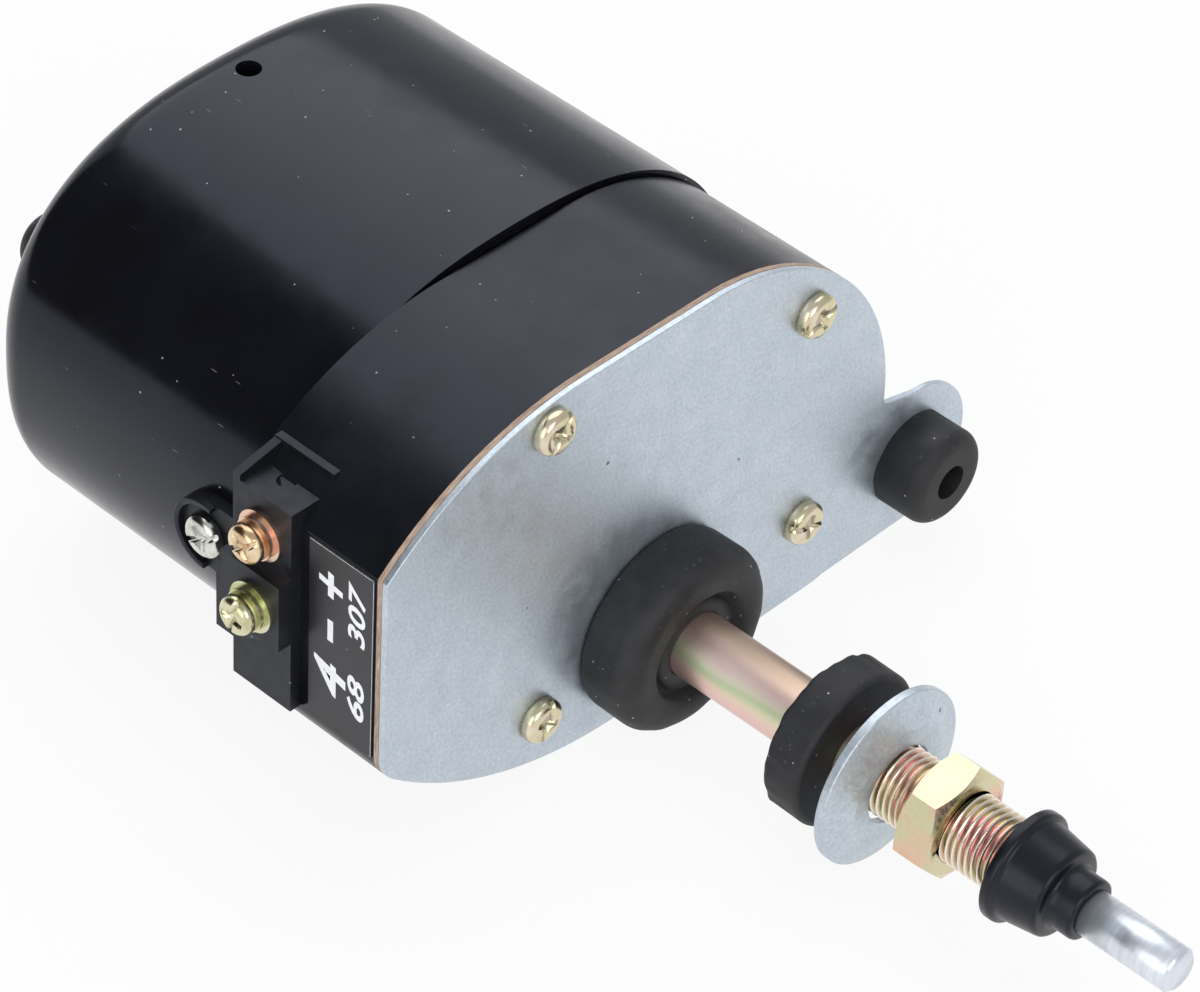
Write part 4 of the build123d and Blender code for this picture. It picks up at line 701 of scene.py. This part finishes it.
def sheet(name, place, material):
    """A flat square that reaches from -1 to 1, taken to its place. It isn't part of the object."""
    bm = bmesh.new()
    bmesh.ops.create_grid(bm, x_segments=1, y_segments=1, size=1, matrix=place)
    mesh = bpy.data.meshes.new(name)
    bm.to_mesh(mesh)
    bm.free()
    mesh.materials.append(material)
    piece = bpy.data.objects.new(name, mesh)
    bpy.context.scene.collection.objects.link(piece)
    piece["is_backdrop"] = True
    return piece


def studio_white():
    """Seamless white paper. It is seen and mirrored as white, and keeps a little of the object's shadow."""
    material = new_material("seamless_white_paper")
    tree = material.node_tree
    share_of_white = 0.9
    paper = add_node(tree, "ShaderNodeBsdfDiffuse", {"Color": "#f4f4f4"})
    glow = add_node(tree, "ShaderNodeEmission", {"Color": "#ffffff", "Strength": 1.0})
    camera_ray = add_node(tree, "ShaderNodeLightPath", output="Is Camera Ray")
    glossy_ray = add_node(tree, "ShaderNodeLightPath", output="Is Glossy Ray")
    through_ray = add_node(tree, "ShaderNodeLightPath", output="Is Transmission Ray")
    seen = add_node(tree, "ShaderNodeMath", {0: camera_ray, 1: glossy_ray}, operation="ADD")
    seen = add_node(tree, "ShaderNodeMath", {0: seen, 1: through_ray}, operation="ADD", use_clamp=True)
    white = add_node(tree, "ShaderNodeMath", {0: seen, 1: share_of_white}, operation="MULTIPLY")
    blend = add_node(tree, "ShaderNodeMixShader", {0: white, 1: paper, 2: glow})
    add_node(tree, "ShaderNodeOutputMaterial", {"Surface": blend})
    return material


def black_card():
    """Matt black card, a little uneven."""
    material = new_material("black_card")
    tree = material.node_tree
    shader = add_node(tree, "ShaderNodeBsdfPrincipled", {
        "Base Color": mottled(tree, 20, [(0.3, "#0a0a0b"), (0.7, "#0e0e10")]), "Roughness": 0.9,
    })
    add_node(tree, "ShaderNodeOutputMaterial", {"Surface": shader})
    return material


FLOOR_Z = cad_box[0][2]
HALF_FLOOR = 3.0
sheet("studio_floor", Matrix.Translation((0, 0, FLOOR_Z)) @ Matrix.Scale(HALF_FLOOR, 4), studio_white())

# The card stands behind the motor on the left and gives the can its dark reflection
CARD_LEFT, CARD_RIGHT, CARD_TOP = Vector((-0.75, 0.28, FLOOR_Z)), Vector((-0.02, 0.62, FLOOR_Z)), 0.78
half_width = (CARD_RIGHT - CARD_LEFT) / 2
half_height = Vector((0, 0, (CARD_TOP - FLOOR_Z) / 2))
card_turn = Matrix((half_width, half_height, half_width.cross(half_height))).transposed().to_4x4()
card_place = Matrix.Translation(CARD_LEFT + half_width + half_height) @ card_turn
card = sheet("dark_card", card_place, black_card())
card.visible_camera = False
card.visible_shadow = False
card.visible_diffuse = False

WORLD_STRENGTH = 0.62
world = bpy.data.worlds.new("soft_studio")
world.use_nodes = True
world.node_tree.nodes["Background"].inputs["Color"].default_value = linear("#f2f5fa")
world.node_tree.nodes["Background"].inputs["Strength"].default_value = WORLD_STRENGTH
bpy.context.scene.world = world


def soft_lamp(name, where, aim, size, power):
    """A square area lamp that looks from where to aim."""
    lamp = bpy.data.lights.new(name, "AREA")
    lamp.shape = "SQUARE"
    lamp.size = size
    lamp.energy = power
    holder = bpy.data.objects.new(name, lamp)
    holder.location = where
    holder.rotation_euler = (Vector(aim) - Vector(where)).to_track_quat("-Z", "Y").to_euler()
    bpy.context.scene.collection.objects.link(holder)


soft_lamp("overhead_softbox", (0.42, 0.5, 0.95), (0, 0.02, 0.01), size=1.15, power=6.0)
soft_lamp("front_softbox", (-0.35, -0.95, 0.55), (0, -0.02, 0.01), size=0.6, power=3.5)
soft_lamp("left_softbox", (-0.95, -0.15, 0.35), (0, 0.02, 0.01), size=0.7, power=2.5)

# The camera looks down by 90 degrees less its tilt, from the front left, and is rolled a little
CAMERA_AT = (-0.3515, -0.3021, 0.4211)
CAMERA_TURN, CAMERA_TILT, CAMERA_ROLL = -48.42, 49.05, 3.506
camera_data = bpy.data.cameras.new("photo_camera")
camera_data.sensor_fit = "HORIZONTAL"
camera_data.sensor_width = 36
camera_data.lens = 150
camera_data.clip_start = 0.01
camera = bpy.data.objects.new("photo_camera", camera_data)
turned = Matrix.Rotation(radians(CAMERA_TURN), 4, "Z") @ Matrix.Rotation(radians(CAMERA_TILT), 4, "X")
camera.matrix_world = Matrix.Translation(CAMERA_AT) @ turned @ Matrix.Rotation(radians(CAMERA_ROLL), 4, "Z")
bpy.context.scene.collection.objects.link(camera)
bpy.context.scene.camera = camera
bpy.context.scene.view_settings.view_transform = "Standard"

low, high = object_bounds()
